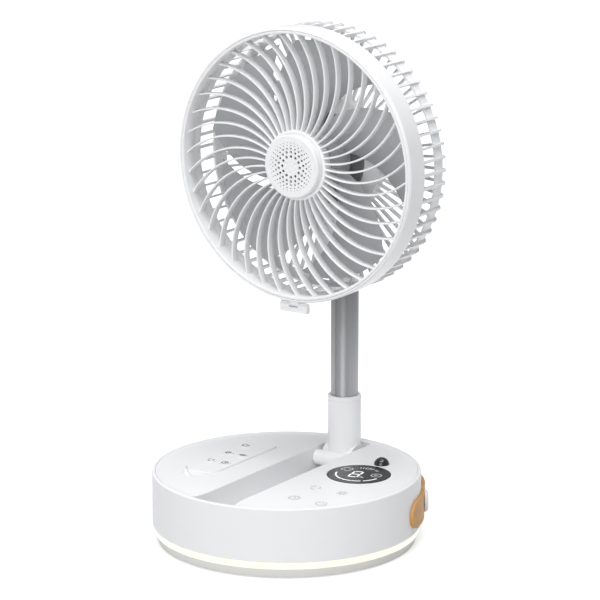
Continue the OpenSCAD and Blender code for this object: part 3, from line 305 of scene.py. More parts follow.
def drawn_streaks(name):
    """Fine lines along the direction in which metal was drawn, and painted shade that darkens the
    colour upwards.
    """
    tree, given, ends = new_tree(name, "ShaderNodeTree", [
        ("Colour", COLOUR, (0.6, 0.6, 0.6, 1)), ("Along", VECTOR, (1.0, 1.0, 0.02)),
        ("Fineness", FLOAT, 2600.0), ("Roughness", FLOAT, 0.3), ("Spread", FLOAT, 0.2),
        ("Depth", FLOAT, 0.05), ("Dark from", FLOAT, 0.0), ("Dark to", FLOAT, 1.0),
        ("Darkness", FLOAT, 0.0)], SURFACE)
    place = on_object(tree)
    stretched = fed(tree, "ShaderNodeVectorMath", place, given["Along"], operation="MULTIPLY")
    lines = noise(tree, stretched, Scale=given["Fineness"], Detail=3.0)
    centred = maths(tree, "SUBTRACT", lines, 0.5)
    rough = maths(tree, "MULTIPLY_ADD", centred, given["Spread"], given["Roughness"])
    streak = maths(tree, "MULTIPLY_ADD", centred, STREAK_CONTRAST, 1.0)
    height = add(tree, "ShaderNodeSeparateXYZ", Vector=place).outputs["Z"]
    # painted shade: the colour darkens with height between the two given heights
    above = mapped(tree, height, (given["Dark from"], given["Dark to"]), (0.0, 1.0))
    kept = maths(tree, "SUBTRACT", 1.0, maths(tree, "MULTIPLY", above, given["Darkness"]))
    colour = scaled(tree, given["Colour"], maths(tree, "MULTIPLY", streak, kept))
    return end_surface(tree, ends, colour, rough, lines, given["Depth"], STREAK_HEIGHT)


def hide_grain(name):
    """Pebbled hide with fine creases and a mottled tone."""
    tree, given, ends = new_tree(name, "ShaderNodeTree", [
        ("Colour", COLOUR, (0.6, 0.3, 0.1, 1)), ("Pebble", FLOAT, 900.0), ("Depth", FLOAT, 0.35)],
        SURFACE)
    place = on_object(tree)
    pebble = add(tree, "ShaderNodeTexVoronoi", {"feature": "DISTANCE_TO_EDGE"}, Vector=place,
                 Scale=given["Pebble"]).outputs["Distance"]
    crease = noise(tree, place, Scale=260.0, Detail=5.0, Roughness=0.65)
    mottle = noise(tree, place, Scale=75.0, Detail=3.0)
    colour = scaled(tree, given["Colour"], mapped(tree, mottle, NOISE_SPAN, (0.9, 1.08)))
    rough = mapped(tree, crease, NOISE_SPAN, (0.4, 0.58))
    relief = maths(tree, "MULTIPLY_ADD", pebble, PEBBLE_RELIEF, crease)
    return end_surface(tree, ends, colour, rough, relief, given["Depth"], GRAIN_HEIGHT)


# finishes


def colours():
    return bpy.context.scene.fan_colours


def finish(name, group, tints, **shader):
    """A material whose surface comes from a shared group, with the rest set on its shader."""
    made = bpy.data.materials.get(name)
    if made:
        return made
    made = bpy.data.materials.new(name)
    made.use_nodes = True
    tree = made.node_tree
    surface = tree.nodes["Principled BSDF"].inputs
    effect = add(tree, "ShaderNodeGroup", {"node_tree": group})
    for key, value in tints.items():
        effect.inputs[key].default_value = (*value, 1.0) if key == "Colour" else value
    for (label, _), target in zip(SURFACE, ("Base Color", "Roughness", "Normal")):
        tree.links.new(effect.outputs[label], surface[target])
    for key, value in shader.items():
        surface[key.replace("_", " ")].default_value = value
    made.diffuse_color = (*tints["Colour"], 1.0)
    return made


def plastic(name, colour, grain, depth, roughness, drift=0.02, spread=0.06, **shader):
    """A moulded finish; drift and spread are how far its tone and its gloss vary."""
    return finish(name, shared("Moulded grain", moulded_grain), {
        "Colour": colour, "Grain": grain, "Depth": depth, "Roughness": roughness, "Drift": drift,
        "Spread": spread}, **shader)


def casing_white():
    return plastic("Casing white", colours().casing, grain=1500, depth=0.05, roughness=0.42)


# a lighter copy of the casing white: painted light on the pole pieces, which the head shades
def sleeve_painted_light():
    return plastic("Sleeve white", colours().sleeve, grain=2000, depth=0.03, roughness=0.36)


def panel_white():
    return plastic("Panel white", colours().casing, grain=2400, depth=0.03, roughness=0.36)


def grille_white():
    return plastic("Grille white", colours().grille, grain=2600, depth=0.015, roughness=0.34,
                   Coat_Weight=0.1, Coat_Roughness=0.2)


# the blades' white darkened to grey, a painted shade of the inside of the head; the rotor hub
# shares it
def blade_painted_shade():
    return plastic("Blade white", colours().blade, grain=2200, depth=0.015, roughness=0.34)


def foot_grey():
    return plastic("Foot grey", colours().foot, grain=1200, depth=0.04, roughness=0.5, drift=0.05)


def charcoal():
    return plastic("Charcoal plastic", (0.035, 0.036, 0.038), grain=1700, depth=0.06,
                   roughness=0.45)


def black_gloss():
    return plastic("Black lens", colours().lens, grain=900, depth=0.0, roughness=0.16, spread=0.02,
                   Specular_IOR_Level=0.3, Coat_Weight=0.1, Coat_Roughness=0.05)


def dome_gloss():
    return plastic("Receiver black", (0.01, 0.01, 0.012), grain=900, depth=0.0, roughness=0.08,
                   spread=0.02, Coat_Weight=0.8, Coat_Roughness=0.03)


def mark_print():
    return plastic("Mark print", colours().mark, grain=3000, depth=0.0, roughness=0.5)


def touch_print():
    return plastic("Touch print", colours().touch, grain=3000, depth=0.0, roughness=0.5)


def motor_grey():
    return plastic("Motor grey", colours().motor, grain=1500, depth=0.05, roughness=0.4)


def board_green():
    return plastic("Board green", (0.03, 0.16, 0.08), grain=700, depth=0.2, roughness=0.35,
                   drift=0.2)


def cell_wrap():
    return plastic("Cell wrap", (0.05, 0.16, 0.42), grain=500, depth=0.02, roughness=0.25)


def foot_rubber():
    return plastic("Foot rubber", (0.05, 0.05, 0.052), grain=1300, depth=0.25, roughness=0.75,
                   drift=0.2)


def tube_metal():
    """Drawn tube with painted shade that darkens it towards its top, under the head."""
    streaks = {"Colour": colours().tube, "Roughness": 0.45, "Spread": 0.06,
               "Dark from": TUBE[0].z + 50 * MM, "Dark to": TUBE[1].z, "Darkness": 0.5}
    return finish("Anodised tube", shared("Drawn streaks", drawn_streaks), streaks,
                  Metallic=1.0, Anisotropic=0.88, Anisotropic_Rotation=0.25)


def plain_steel():
    streaks = {"Colour": (0.55, 0.56, 0.58), "Along": (1.0, 0.1, 1.0), "Roughness": 0.3}
    return finish("Turned steel", shared("Drawn streaks", drawn_streaks), streaks, Metallic=1.0)


def strap_hide():
    return finish("Strap hide", shared("Hide grain", hide_grain), {"Colour": colours().leather},
                  Specular_IOR_Level=0.4)


def glowing(name, light, strength, base):
    """Moulded plastic that also gives off its own light."""
    return plastic(name, base, grain=1200, depth=0.02, roughness=0.35,
                   Emission_Color=(*light, 1.0), Emission_Strength=strength)


def lamp_glow():
    """The diffuser of the lamp ring: warm, a little brighter in front of each lamp."""
    name, light = "Lamp diffuser", tuple(colours().lamp)
    if name in bpy.data.materials:
        return bpy.data.materials[name]
    made = glowing(name, light, bpy.context.scene.fan_base.lamp_strength, (0.3, 0.295, 0.26))
    tree = made.node_tree
    axes = add(tree, "ShaderNodeSeparateXYZ", Vector=on_object(tree)).outputs
    turn = maths(tree, "ARCTAN2", axes["Y"], axes["X"])
    ripple = maths(tree, "COSINE", maths(tree, "MULTIPLY", turn, RING_LAMPS))
    lit = scaled(tree, light, mapped(tree, ripple, (-1.0, 1.0), (0.93, 1.0)))
    tree.links.new(lit, tree.nodes["Principled BSDF"].inputs["Emission Color"])
    return made


def dress(material, *nodes):
    """Gives carried-over parts their finish."""
    for name in nodes:
        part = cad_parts[name]
        for slot in part.material_slots:
            slot.material = material
        if not part.material_slots:
            raise RuntimeError(f"{name} has no material slot")


# mesh building


def mesh_piece(name, points, faces, material, place=None, crisp=CRISP):
    """A piece with its place in its mesh and its faces pointing outwards."""
    mesh = bpy.data.meshes.new(name)
    mesh.from_pydata(points, [], faces)
    if place is not None:
        mesh.transform(place)
    work = bmesh.new()
    work.from_mesh(mesh)
    bmesh.ops.remove_doubles(work, verts=work.verts, dist=WELD)
    bmesh.ops.recalc_face_normals(work, faces=work.faces)
    work.to_mesh(mesh)
    work.free()
    mesh.shade_smooth()
    mesh.set_sharp_from_angle(angle=math.radians(crisp))
    mesh.materials.append(material)
    piece = bpy.data.objects.new(name, mesh)
    bpy.context.scene.collection.objects.link(piece)
    return piece


def eased(points, radii):
    """A closed outline whose corners are rounded, each by its own radius."""
    steps, most = 4, 0.49  # a corner takes less than half of either side
    out = []
    for i, radius in enumerate(radii):
        here, before = Vector(points[i]), Vector(points[i - 1])
        after = Vector(points[(i + 1) % len(points)])
        if radius <= 0:
            out.append(tuple(here))
            continue
        back, on = before - here, after - here
        half = back.angle(on) / 2
        reach = min(radius / math.tan(half), back.length * most, on.length * most)
        first, last = here + back.normalized() * reach, here + on.normalized() * reach
        for k in range(steps + 1):
            t = k / steps
            out.append(tuple(first * (1 - t) ** 2 + here * 2 * t * (1 - t) + last * t**2))
    return out


def turned(name, outline, material, place, steps):
    """A solid of revolution about z from a closed outline of (radius, height) points."""
    points, faces = [], []
    n = len(outline)
    for k in range(steps):
        c, s = math.cos(2 * math.pi * k / steps), math.sin(2 * math.pi * k / steps)
        points += [(r * c, r * s, z) for r, z in outline]
    for k in range(steps):
        a, b = k * n, (k + 1) % steps * n
        faces += [(a + i, b + i, b + (i + 1) % n, a + (i + 1) % n) for i in range(n)]
    return mesh_piece(name, points, faces, material, place)


def ribbon(path, width, height):
    """Points and faces of a thin raised line that follows a flat path of (x, y) points."""
    last = len(path) - 1
    points, faces = [], []
    for i, (x, y) in enumerate(path):
        before, after = path[max(i - 1, 0)], path[min(i + 1, last)]
        ahead = Vector((after[0] - before[0], after[1] - before[1])).normalized()
        side = Vector((-ahead.y, ahead.x)) * width / 2
        for sign, z in ((-1, 0.0), (-1, height), (1, height), (1, 0.0)):
            points.append((x + sign * side.x, y + sign * side.y, z))
    for a in range(0, 4 * last, 4):
        b = a + 4
        faces += [(a + k, b + k, b + (k + 1) % 4, a + (k + 1) % 4) for k in range(4)]
    faces += [(0, 1, 2, 3), tuple(4 * last + k for k in (3, 2, 1, 0))]
    return points, faces


def arc(x, y, radius, start, stop, steps=18):
    """Points of a circle's arc round (x, y), its angles in degrees."""
    turns = [math.radians(start + (stop - start) * k / steps) for k in range(steps + 1)]
    return [(x + radius * math.cos(t), y + radius * math.sin(t)) for t in turns]


def drawn(name, strokes, material, place, width, height=0.05 * MM, body="base"):
    """One piece from many strokes. A stroke is a path, or (path, width) where its width differs."""
    points, faces = [], []
    for stroke in strokes:
        path, wide = stroke if isinstance(stroke, tuple) else (stroke, width)
        more, sides = ribbon(path, wide, height)
        faces += [tuple(i + len(points) for i in f) for f in sides]
        points += more
    piece = mesh_piece(name, points, faces, material, place, CRISP_MARK)
    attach(piece, body)


def icon(kind, x, y, s, gap, ray):
    """Strokes of a plain mark round (x, y), with s as half its height.

    gap is half the opening of the power ring in degrees, and ray where the light's rays end.
    """
    if kind == "fan":
        return [arc(x + s * 0.5 * math.cos(t), y + s * 0.5 * math.sin(t), s * 0.5,
                    math.degrees(t) - 90, math.degrees(t) + 60, 8) for t in (0.5, 2.6, 4.7)]
    if kind == "light":
        turns = [k * math.pi / 4 for k in range(8)]
        return [arc(x, y, s * 0.55, 0, 360)] + [
            [(x + s * r * math.cos(t), y + s * r * math.sin(t)) for r in (0.8, ray)]
            for t in turns]
    if kind == "timer":
        return [arc(x, y, s, 0, 360), [(x, y + s * 0.6), (x, y), (x + s * 0.45, y - s * 0.1)]]
    if kind == "power":
        return [arc(x, y, s, 90 + gap, 450 - gap), [(x, y + s * 1.2), (x, y + s * 0.3)]]
    return [arc(x, y - s, s * r, 40, 140, 8) for r in (0.7, 1.2, 1.7)]


# repeated pieces, made by geometry nodes


def ring_of_copies(name):
    """Repeats the given geometry evenly about z."""
    tree, given, ends = new_tree(name, "GeometryNodeTree", [
        ("Geometry", GEOMETRY), ("Count", WHOLE, 12), ("Finish", MATERIAL)],
        [("Geometry", GEOMETRY)])
    line = add(tree, "GeometryNodeMeshLine", Count=given["Count"], Offset=(0.0, 0.0, 0.0))
    share = maths(tree, "DIVIDE", fed(tree, "GeometryNodeInputIndex"), given["Count"])
    turn = add(tree, "ShaderNodeCombineXYZ", Z=maths(tree, "MULTIPLY", share, 2 * math.pi))
    copies = add(tree, "GeometryNodeInstanceOnPoints", Points=line.outputs["Mesh"],
                 Instance=given["Geometry"], Rotation=turn.outputs[0])
    real = fed(tree, "GeometryNodeRealizeInstances", copies.outputs["Instances"])
    dressed = add(tree, "GeometryNodeSetMaterial", Geometry=real, Material=given["Finish"])
    tree.links.new(dressed.outputs["Geometry"], ends["Geometry"])
    return tree


def swept_spokes(name):
    """Spokes from a hub to a ring, each an arc with a rounded section, spaced evenly about z."""
    tree, given, ends = new_tree(name, "GeometryNodeTree", [
        ("Geometry", GEOMETRY), ("Count", WHOLE, 40), ("Hub end", VECTOR), ("Middle", VECTOR),
        ("Ring end", VECTOR), ("Width", FLOAT, MM), ("Depth", FLOAT, MM), ("Round", FLOAT, MM),
        ("Finish", MATERIAL)], [("Geometry", GEOMETRY)])
    path = add(tree, "GeometryNodeCurveArc", {"mode": "POINTS"}, Resolution=22,
               Start=given["Hub end"], Middle=given["Middle"], End=given["Ring end"])
    section = add(tree, "GeometryNodeCurvePrimitiveQuadrilateral", {"mode": "RECTANGLE"},
                  Width=given["Width"], Height=given["Depth"])
    soft = add(tree, "GeometryNodeFilletCurve", {"mode": "POLY"}, Curve=section.outputs["Curve"],
               Count=2, Radius=given["Round"])
    solid = add(tree, "GeometryNodeCurveToMesh", Curve=path.outputs["Curve"],
                Profile_Curve=soft.outputs["Curve"], Fill_Caps=True)
    smooth = add(tree, "GeometryNodeSetShadeSmooth", Geometry=solid.outputs["Mesh"])
    ring = add(tree, "GeometryNodeGroup", {"node_tree": shared("Ring of copies", ring_of_copies)},
               Geometry=smooth.outputs["Geometry"], Count=given["Count"], Finish=given["Finish"])
    tree.links.new(ring.outputs["Geometry"], ends["Geometry"])
    return tree


def grown(piece, tree, values, place):
    """Runs a geometry-nodes tree on a piece and keeps the result as a plain mesh."""
    modifier = piece.modifiers.new(tree.name, "NODES")
    modifier.node_group = tree
    for item in tree.interface.items_tree:
        if item.item_type == "SOCKET" and item.in_out == "INPUT" and item.name in values:
            modifier[item.identifier] = values[item.name]
    bpy.context.view_layer.update()
    ready = piece.evaluated_get(bpy.context.evaluated_depsgraph_get())
    result = bpy.data.meshes.new_from_object(ready)
    piece.modifiers.remove(modifier)
    old, piece.data = piece.data, result
    bpy.data.meshes.remove(old)
    result.name = piece.name
    result.transform(place)
    result.set_sharp_from_angle(angle=math.radians(CRISP_CURVED))


# operators


class FAN_OT_base_wall(bpy.types.Operator):
    """Base shell, foot ring and lit lamp ring"""

    bl_idname = "fan.base_wall"
    bl_label = "Base wall and lamp ring"

    def execute(self, context):
        dress(casing_white(), "base_shell", "bottom_cover")
        dress(foot_grey(), "foot_ring")
        dress(lamp_glow(), "light_ring")
        dress(foot_rubber(), "rubber_feet")
        return {"FINISHED"}


class FAN_OT_top_panel(bpy.types.Operator):
    """Top panel with its channel and the faint touch marks"""

    bl_idname = "fan.top_panel"
    bl_label = "Top panel"

    def execute(self, context):
        dress(panel_white(), "top_panel")
        sizes = context.scene.fan_base
        strokes = []
        for kind, x, y in TOUCH_MARKS:
            strokes += icon(kind, x * MM, y * MM, sizes.icon_size / 2, **TOUCH_SHAPE)
        place = Matrix.Translation((0, 0, LENS[1].z))
        drawn("touch_marks", strokes, touch_print(), place, sizes.mark_width * TOUCH_LINE)
        return {"FINISHED"}


class FAN_OT_display(bpy.types.Operator):
    """Round display with its lit marks, and the receiver dome"""

    bl_idname = "fan.display"
    bl_label = "Display and receiver"

    def lit_marks(self, radius):
        """The slanted figure near the middle, and the scale below it in its own line."""
        x, y, half, lean = -radius * 0.09, -radius * 0.03, radius * 0.14, 0.14
        strokes = [[(x + a * half + b * half * lean, y + b * half) for a, b in bar]
                   for bar in FIGURE_BARS]
        strokes += [(arc(0, 0, radius * SCALE_RADIUS, start, stop, 14), radius * SCALE_LINE)
                    for start, stop in SCALE_PARTS]
        return strokes

    def dim_marks(self, radius):
        """A fan, a ring with an arrowhead, the level bars along the rim, and a small unit mark."""
        strokes = []
        x, y, petal = -0.5, 0.42, 0.09
        for degrees in (20, 110, 200, 290):
            t = math.radians(degrees)
            middle_x = radius * (x + petal * math.cos(t))
            middle_y = radius * (y + petal * math.sin(t))
            strokes.append(arc(middle_x, middle_y, radius * petal, math.degrees(t) - 110,
                               math.degrees(t) + 60, 8))
        x, y, ring, head = 0.56, 0.02, 0.16, 0.06
        strokes.append(arc(radius * x, radius * y, radius * ring, 0, 360))
        strokes.append([(radius * (x + head * a), radius * (y + head * b))
                        for a, b in ((-0.8, 1), (1, 0), (-0.8, -1), (-0.8, 1))])
        for degrees in LEVEL_BARS:
            c, s = math.cos(math.radians(degrees)), math.sin(math.radians(degrees))
            strokes.append([(radius * r * c, radius * r * s) for r in LEVEL_BAND])
        strokes += [arc(0, 0, radius * r, *LEVEL_FRAME, 4) for r in LEVEL_BAND]
        strokes.append([(radius * 0.08, -radius * 0.3), (radius * 0.16, -radius * 0.2)])
        strokes.append(arc(radius * 0.19, -radius * 0.3, radius * 0.03, 0, 360, 8))
        return strokes

    def execute(self, context):
        dress(black_gloss(), "display_lens")
        dress(dome_gloss(), "receiver_dome")
        centre, radius = middle(LENS), (LENS[1].x - LENS[0].x) / 2
        turn = Matrix.Rotation(math.radians(DISPLAY_TURN), 4, "Z")
        place = Matrix.Translation((centre.x, centre.y, LENS[1].z)) @ turn
        lit = glowing("Lit marks", (0.95, 0.98, 1.0), 0.85, (0.7, 0.7, 0.7))
        dim = glowing("Dim marks", (0.75, 0.8, 0.84), 0.3, (0.4, 0.4, 0.42))
        for name, strokes, material, line, height in (
                ("display_lit_marks", self.lit_marks(radius), lit, LIT_LINE, 0.04 * MM),
                ("display_dim_marks", self.dim_marks(radius), dim, DIM_LINE, 0.03 * MM)):
            drawn(name, strokes, material, place, radius * line, height)
        return {"FINISHED"}


class FAN_OT_remote(bpy.types.Operator):
    """Inset remote with its five keys and their marks"""

    bl_idname = "fan.remote"
    bl_label = "Remote"

    def execute(self, context):
        dress(casing_white(), "remote_top", "remote_bottom")
        width = context.scene.fan_base.mark_width
        for name, kind in KEY_MARKS.items():
            dress(panel_white(), "key_" + name)
            low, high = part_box("key_" + name)
            marks = icon(kind, 0, 0, (high.x - low.x) / 4, **KEY_SHAPE)
            place = Matrix.Translation((*middle((low, high)).xy, high.z))
            drawn("mark_" + name, marks, mark_print(), place, width, body=name + "_key")
        return {"FINISHED"}


class FAN_OT_strap(bpy.types.Operator):
    """Leather carry strap and its two studs"""

    bl_idname = "fan.strap"
    bl_label = "Carry strap"

    def execute(self, context):
        dress(strap_hide(), "strap")
        dress(casing_white(), "strap_studs")
        return {"FINISHED"}


class FAN_OT_pole(bpy.types.Operator):
    """Sleeve, telescopic tubes, guide caps and hinge pieces"""

    bl_idname = "fan.pole"
    bl_label = "Pole"

    def execute(self, context):
        dress(sleeve_painted_light(), "pole_sleeve", "sleeve_collar", "outer_tube_cap", "middle_tube_cap",
              "tilt_tongue")
        dress(tube_metal(), "outer_tube", "middle_tube", "inner_tube")
        dress(charcoal(), "middle_slide_bush", "inner_slide_bush")
        dress(plain_steel(), "tilt_pin", "tilt_pin_caps", "base_hinge_pin", "hinge_washers",
              "hinge_brackets")
        return {"FINISHED"}


class FAN_OT_front_grille(bpy.types.Operator):
    """Swept spokes between the hub ring and the outer ring"""

    bl_idname = "fan.front_grille"
    bl_label = "Front grille"

    def execute(self, context):
        sizes = context.scene.fan_head
        outer, inner = GRILLE[1].x, GRILLE[1].x - sizes.ring_width
        hub, hub_in = sizes.hub_radius, sizes.hub_radius - sizes.hub_width
        into_hub, into_ring, rounding = 1.1 * MM, 1.0 * MM, 0.42
        first, last = (
            Vector((math.cos(turn), math.sin(turn), 0)) * radius for turn, radius in (
                (sizes.spoke_start, hub - into_hub),
                (sizes.spoke_start + sizes.spoke_turn, inner + into_ring)))
        across = (last - first).cross(Vector((0, 0, 1)))
        mid = (first + last) / 2 + across * sizes.spoke_bow
        low = Vector((0, 0, -sizes.spoke_set - sizes.spoke_depth / 2))
        spokes = mesh_piece("grille_spokes", [(0, 0, 0)], [], grille_white())
        grown(spokes, shared("Swept spokes", swept_spokes), {
            "Count": sizes.spokes, "Hub end": first + low, "Middle": mid + low,
            "Ring end": last + low, "Width": sizes.spoke_width, "Depth": sizes.spoke_depth,
            "Round": sizes.spoke_width * rounding, "Finish": grille_white()}, HEAD)
        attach(spokes, "head")
        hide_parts("front_grille")
        soft, front_edge = 0.4 * MM, 1.0 * MM
        back = GRILLE[0].y - GRILLE[1].y
        ring = turned("grille_ring", eased(
            [(inner, 0), (outer, 0), (outer, back), (inner, back)],
            [front_edge, 0.5 * MM, soft, soft]), grille_white(), HEAD, steps=200)
        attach(ring, "head")
        proud, deeper = 0.3 * MM, 1 * MM
        front = proud - sizes.spoke_set
        back = -sizes.spoke_set - sizes.spoke_depth - deeper
        seat = turned("grille_hub_ring", eased(
            [(hub_in, front), (hub, front), (hub, back), (hub_in, back)],
            [soft, front_edge, soft, soft]), grille_white(), HEAD, steps=120)
        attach(seat, "head")
        return {"FINISHED"}


class FAN_OT_hub_cap(bpy.types.Operator):
    """Perforated cap in the middle of the grille"""

    bl_idname = "fan.hub_cap"
    bl_label = "Hub cap"

    def execute(self, context):
        dress(grille_white(), "hub_cap")
        dress(charcoal(), "hub_backing")
        return {"FINISHED"}


class FAN_OT_rear_cage(bpy.types.Operator):
    """Shroud band, comb cage, motor mount and tilt arm"""

    bl_idname = "fan.rear_cage"
    bl_label = "Rear cage"

    def execute(self, context):
        dress(grille_white(), "shroud_band", "rear_cage", "motor_mount", "rear_cover", "tilt_arm")
        return {"FINISHED"}


class FAN_OT_rotor(bpy.types.Operator):
    """Five swept blades, their hub, the motor bell and the spinner"""

    bl_idname = "fan.rotor"
    bl_label = "Rotor"

    def blade(self, sizes):
        """One closed blade: swept back, twisted, and thinner at its edges and its tip."""
        steps, chord = 22, 20
        in_hub = 1 * MM
        # depth of the rear and the front edge behind the front ring, and what each gains to the tip
        back_mm, back_rise = 40.5, 1
        front_mm, front_rise = 23, 4
        bulge, taper, edge = 0.12, 0.3, 0.3
        hub, tip = sizes.rotor_hub, sizes.blade_tip
        points, faces = [], []
        for side in (1, -1):
            for i in range(steps + 1):
                u = i / steps
                r = (hub - in_hub) * (1 - u) + tip * u
                gap = sizes.blade_place - sizes.blade_sweep * (r - hub) / (tip - hub)
                back, front = (back_mm + back_rise * u) * MM, (front_mm + front_rise * u) * MM
                for j in range(chord + 1):
                    t = j / chord
                    a = gap + sizes.blade_gap / 2
                    a += t * (2 * math.pi / sizes.blades - sizes.blade_gap)
                    belly = math.sin(math.pi * t)
                    depth = back + (front - back) * t - belly * (back - front) * bulge
                    thick = sizes.blade_thickness * (1 - taper * u)
                    thick *= edge + (1 - edge) * belly
                    points.append((r * math.cos(a), r * math.sin(a), -depth + side * thick / 2))
        row, count = chord + 1, (chord + 1) * (steps + 1)
        for first, turn in ((0, 1), (count, -1)):
            for i in range(steps):
                for j in range(chord):
                    p = first + i * row + j
                    faces.append((p, p + 1, p + row + 1, p + row)[::turn])
        for i in range(steps):
            for p in (i * row, i * row + chord):
                faces.append((p, p + row, count + p + row, count + p))
        for j in range(chord):
            for p in (j, steps * row + j):
                faces.append((p, p + 1, count + p + 1, count + p))
        return points, faces

    def execute(self, context):
        sizes = context.scene.fan_head
        points, faces = self.blade(sizes)
        blades = mesh_piece("rotor_blades", points, faces, blade_painted_shade())
        grown(blades, shared("Ring of copies", ring_of_copies), {
            "Count": sizes.blades, "Finish": blade_painted_shade()}, HEAD)
        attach(blades, "rotor")
        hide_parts("fan_blade")
        front, back = HEAD_MIDDLE.y - BLADES[0].y, HEAD_MIDDLE.y - BLADES[1].y
        wall, soft, outer = 2 * MM, 0.4 * MM, sizes.rotor_hub
        hub = turned("rotor_hub", eased(
            [(wall, front - wall), (wall, front), (outer, front), (outer, back),
             (outer - wall, back), (outer - wall, front - 2 * wall), (wall, front - 2 * wall)],
            [0, 0, 2 * MM, soft, soft, 0, 0]), blade_painted_shade(), HEAD, steps=96)
        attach(hub, "rotor")
        dress(charcoal(), "motor_bell", "blade_nut")
        return {"FINISHED"}


class FAN_OT_latch(bpy.types.Operator):
    """Latch tab under the front rim"""

    bl_idname = "fan.latch"
    bl_label = "Latch"

    def execute(self, context):
        dress(grille_white(), "latch_tab")
        dress(plain_steel(), "latch_pin")
        return {"FINISHED"}


class FAN_OT_inner_parts(bpy.types.Operator):
    """Boards, cells, motor parts and screws inside the housings"""

    bl_idname = "fan.inner_parts"
    bl_label = "Inner parts"

    def execute(self, context):
        dress(board_green(), "led_board", "main_board", "display_board", "touch_board",
              "remote_board")
        dress(plain_steel(), "case_screws", "arm_screws", "ballast_plate", "charge_port",
              "motor_bearings", "motor_shaft", "remote_cell")
        dress(cell_wrap(), "battery_cells")
        dress(charcoal(), "battery_tray")
        dress(motor_grey(), "motor_stator")
        return {"FINISHED"}


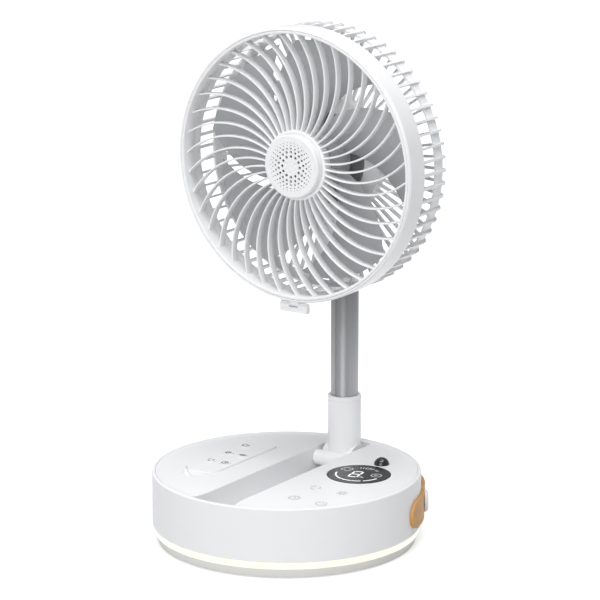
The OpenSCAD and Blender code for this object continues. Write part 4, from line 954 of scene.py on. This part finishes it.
class FAN_OT_stage(bpy.types.Operator):
    """Pale floor, studio lights, world and camera"""

    bl_idname = "fan.stage"
    bl_label = "Stage and camera"

    def in_view(self, tree, other):
        """1 for the camera's rays and for one other kind, else 0."""
        rays = add(tree, "ShaderNodeLightPath").outputs
        return maths(tree, "MAXIMUM", rays["Is Camera Ray"], rays[other])

    def floor(self):
        """Paper that looks white further out and keeps the fan's shadow."""
        made = bpy.data.materials.new("Floor paper")
        made.use_nodes = True
        tree = made.node_tree
        tree.nodes.clear()
        paper = add(tree, "ShaderNodeBsdfDiffuse", Color=(0.55, 0.55, 0.555, 1.0)).outputs[0]
        way = add(tree, "ShaderNodeVectorMath", {"operation": "LENGTH"}, Vector=on_object(tree))
        near, far = 0.12, 0.45
        lift = mapped(tree, way.outputs["Value"], (near, far), (0.6, 1.0))
        glow = fed(tree, "ShaderNodeEmission", (1.0, 1.0, 1.0, 1.0), lift)
        both = fed(tree, "ShaderNodeAddShader", paper, glow)
        seen = self.in_view(tree, "Is Glossy Ray")
        pick = fed(tree, "ShaderNodeMixShader", seen, paper, both)
        add(tree, "ShaderNodeOutputMaterial", Surface=pick)
        half = 6
        mesh = bpy.data.meshes.new("floor")
        mesh.from_pydata([(-half, -half, 0), (half, -half, 0), (half, half, 0), (-half, half, 0)],
                         [], [(0, 1, 2, 3)])
        mesh.materials.append(made)
        piece = bpy.data.objects.new("floor", mesh)
        bpy.context.scene.collection.objects.link(piece)

    def lamp(self, name, power, size, place, target):
        light = bpy.data.lights.new(name, "AREA")
        light.energy, light.shape, light.size = power, "DISK", size
        piece = bpy.data.objects.new(name, light)
        piece.location = place
        aim = Vector(target) - Vector(place)
        piece.rotation_euler = aim.to_track_quat("-Z", "Y").to_euler()
        bpy.context.scene.collection.objects.link(piece)

    def world(self, scene):
        """Even light from all round, seen as white."""
        world = scene.world = bpy.data.worlds.new("Studio")
        world.use_nodes = True
        tree = world.node_tree
        tree.nodes.clear()
        seen = self.in_view(tree, "Is Transmission Ray")
        ambient = scene.fan_stage.ambient
        around = fed(tree, "ShaderNodeBackground", (0.97, 0.98, 1.0, 1.0), ambient)
        plain = fed(tree, "ShaderNodeBackground", (1.0, 1.0, 1.0, 1.0), 1.0)
        pick = fed(tree, "ShaderNodeMixShader", seen, around, plain)
        add(tree, "ShaderNodeOutputWorld", Surface=pick)

    def camera(self, scene):
        azimuth, elevation = math.radians(CAMERA_AZIMUTH), math.radians(CAMERA_ELEVATION)
        right = Vector((math.cos(azimuth), math.sin(azimuth), 0))
        up = Vector((-math.sin(azimuth) * math.sin(elevation),
                     math.cos(azimuth) * math.sin(elevation), math.cos(elevation)))
        back = right.cross(up)
        camera = bpy.data.cameras.new("camera")
        camera.sensor_width, camera.lens = 36.0, scene.fan_stage.lens
        camera.clip_start, camera.clip_end = 0.1, 50.0
        piece = bpy.data.objects.new("camera", camera)
        place = right * CAMERA_RIGHT + up * CAMERA_UP + back * CAMERA_BACK
        facing = Matrix((right, up, back)).transposed().to_4x4()
        piece.matrix_world = Matrix.Translation(place) @ facing
        scene.collection.objects.link(piece)
        scene.camera = piece

    def execute(self, context):
        scene, stage = context.scene, context.scene.fan_stage
        self.floor()
        self.lamp("key_light", stage.key, 1.8, place=(0.7, -2.08, 1.05), target=(0, 0, 0.2))
        self.lamp("top_light", stage.top, 2.0, place=(0.2, -0.3, 2.2), target=(0, 0, 0.1))
        self.lamp("side_light", stage.side, 0.3, place=(-1.73, -1.0, 0.8), target=(0, 0, 0.2))
        self.world(scene)
        self.camera(scene)
        scene.view_settings.view_transform = "Standard"
        return {"FINISHED"}


STEPS = ("base_wall", "top_panel", "display", "remote", "strap", "pole", "front_grille", "hub_cap",
         "rear_cage", "rotor", "latch", "inner_parts", "stage")
GROUPS = {"fan_base": FanBaseSizes, "fan_head": FanHeadSizes, "fan_colours": FanColours,
          "fan_stage": FanStageSettings}


class FAN_PT_sidebar(bpy.types.Panel):
    """Lists the steps that dress the fan"""

    bl_label = "Foldable fan"
    bl_idname = "FAN_PT_sidebar"
    bl_space_type = "VIEW_3D"
    bl_region_type = "UI"
    bl_category = "Fan"

    def draw(self, context):
        for name in GROUPS:
            group, box = getattr(context.scene, name), self.layout.box()
            for key in group.bl_rna.properties.keys():
                if key not in {"rna_type", "name"}:
                    box.prop(group, key)
        for step in STEPS:
            self.layout.operator("fan." + step)


CLASSES = (*GROUPS.values(), FAN_OT_base_wall, FAN_OT_top_panel, FAN_OT_display, FAN_OT_remote,
           FAN_OT_strap, FAN_OT_pole, FAN_OT_front_grille, FAN_OT_hub_cap, FAN_OT_rear_cage,
           FAN_OT_rotor, FAN_OT_latch, FAN_OT_inner_parts, FAN_OT_stage, FAN_PT_sidebar)


def register():
    for made in CLASSES:
        bpy.utils.register_class(made)
    for name, group in GROUPS.items():
        setattr(bpy.types.Scene, name, PointerProperty(type=group))


def unregister():
    for name in GROUPS:
        delattr(bpy.types.Scene, name)
    for made in reversed(CLASSES):
        bpy.utils.unregister_class(made)


def main():
    register()
    for step in STEPS:
        getattr(bpy.ops.fan, step)()


if __name__ == "__main__":
    main()
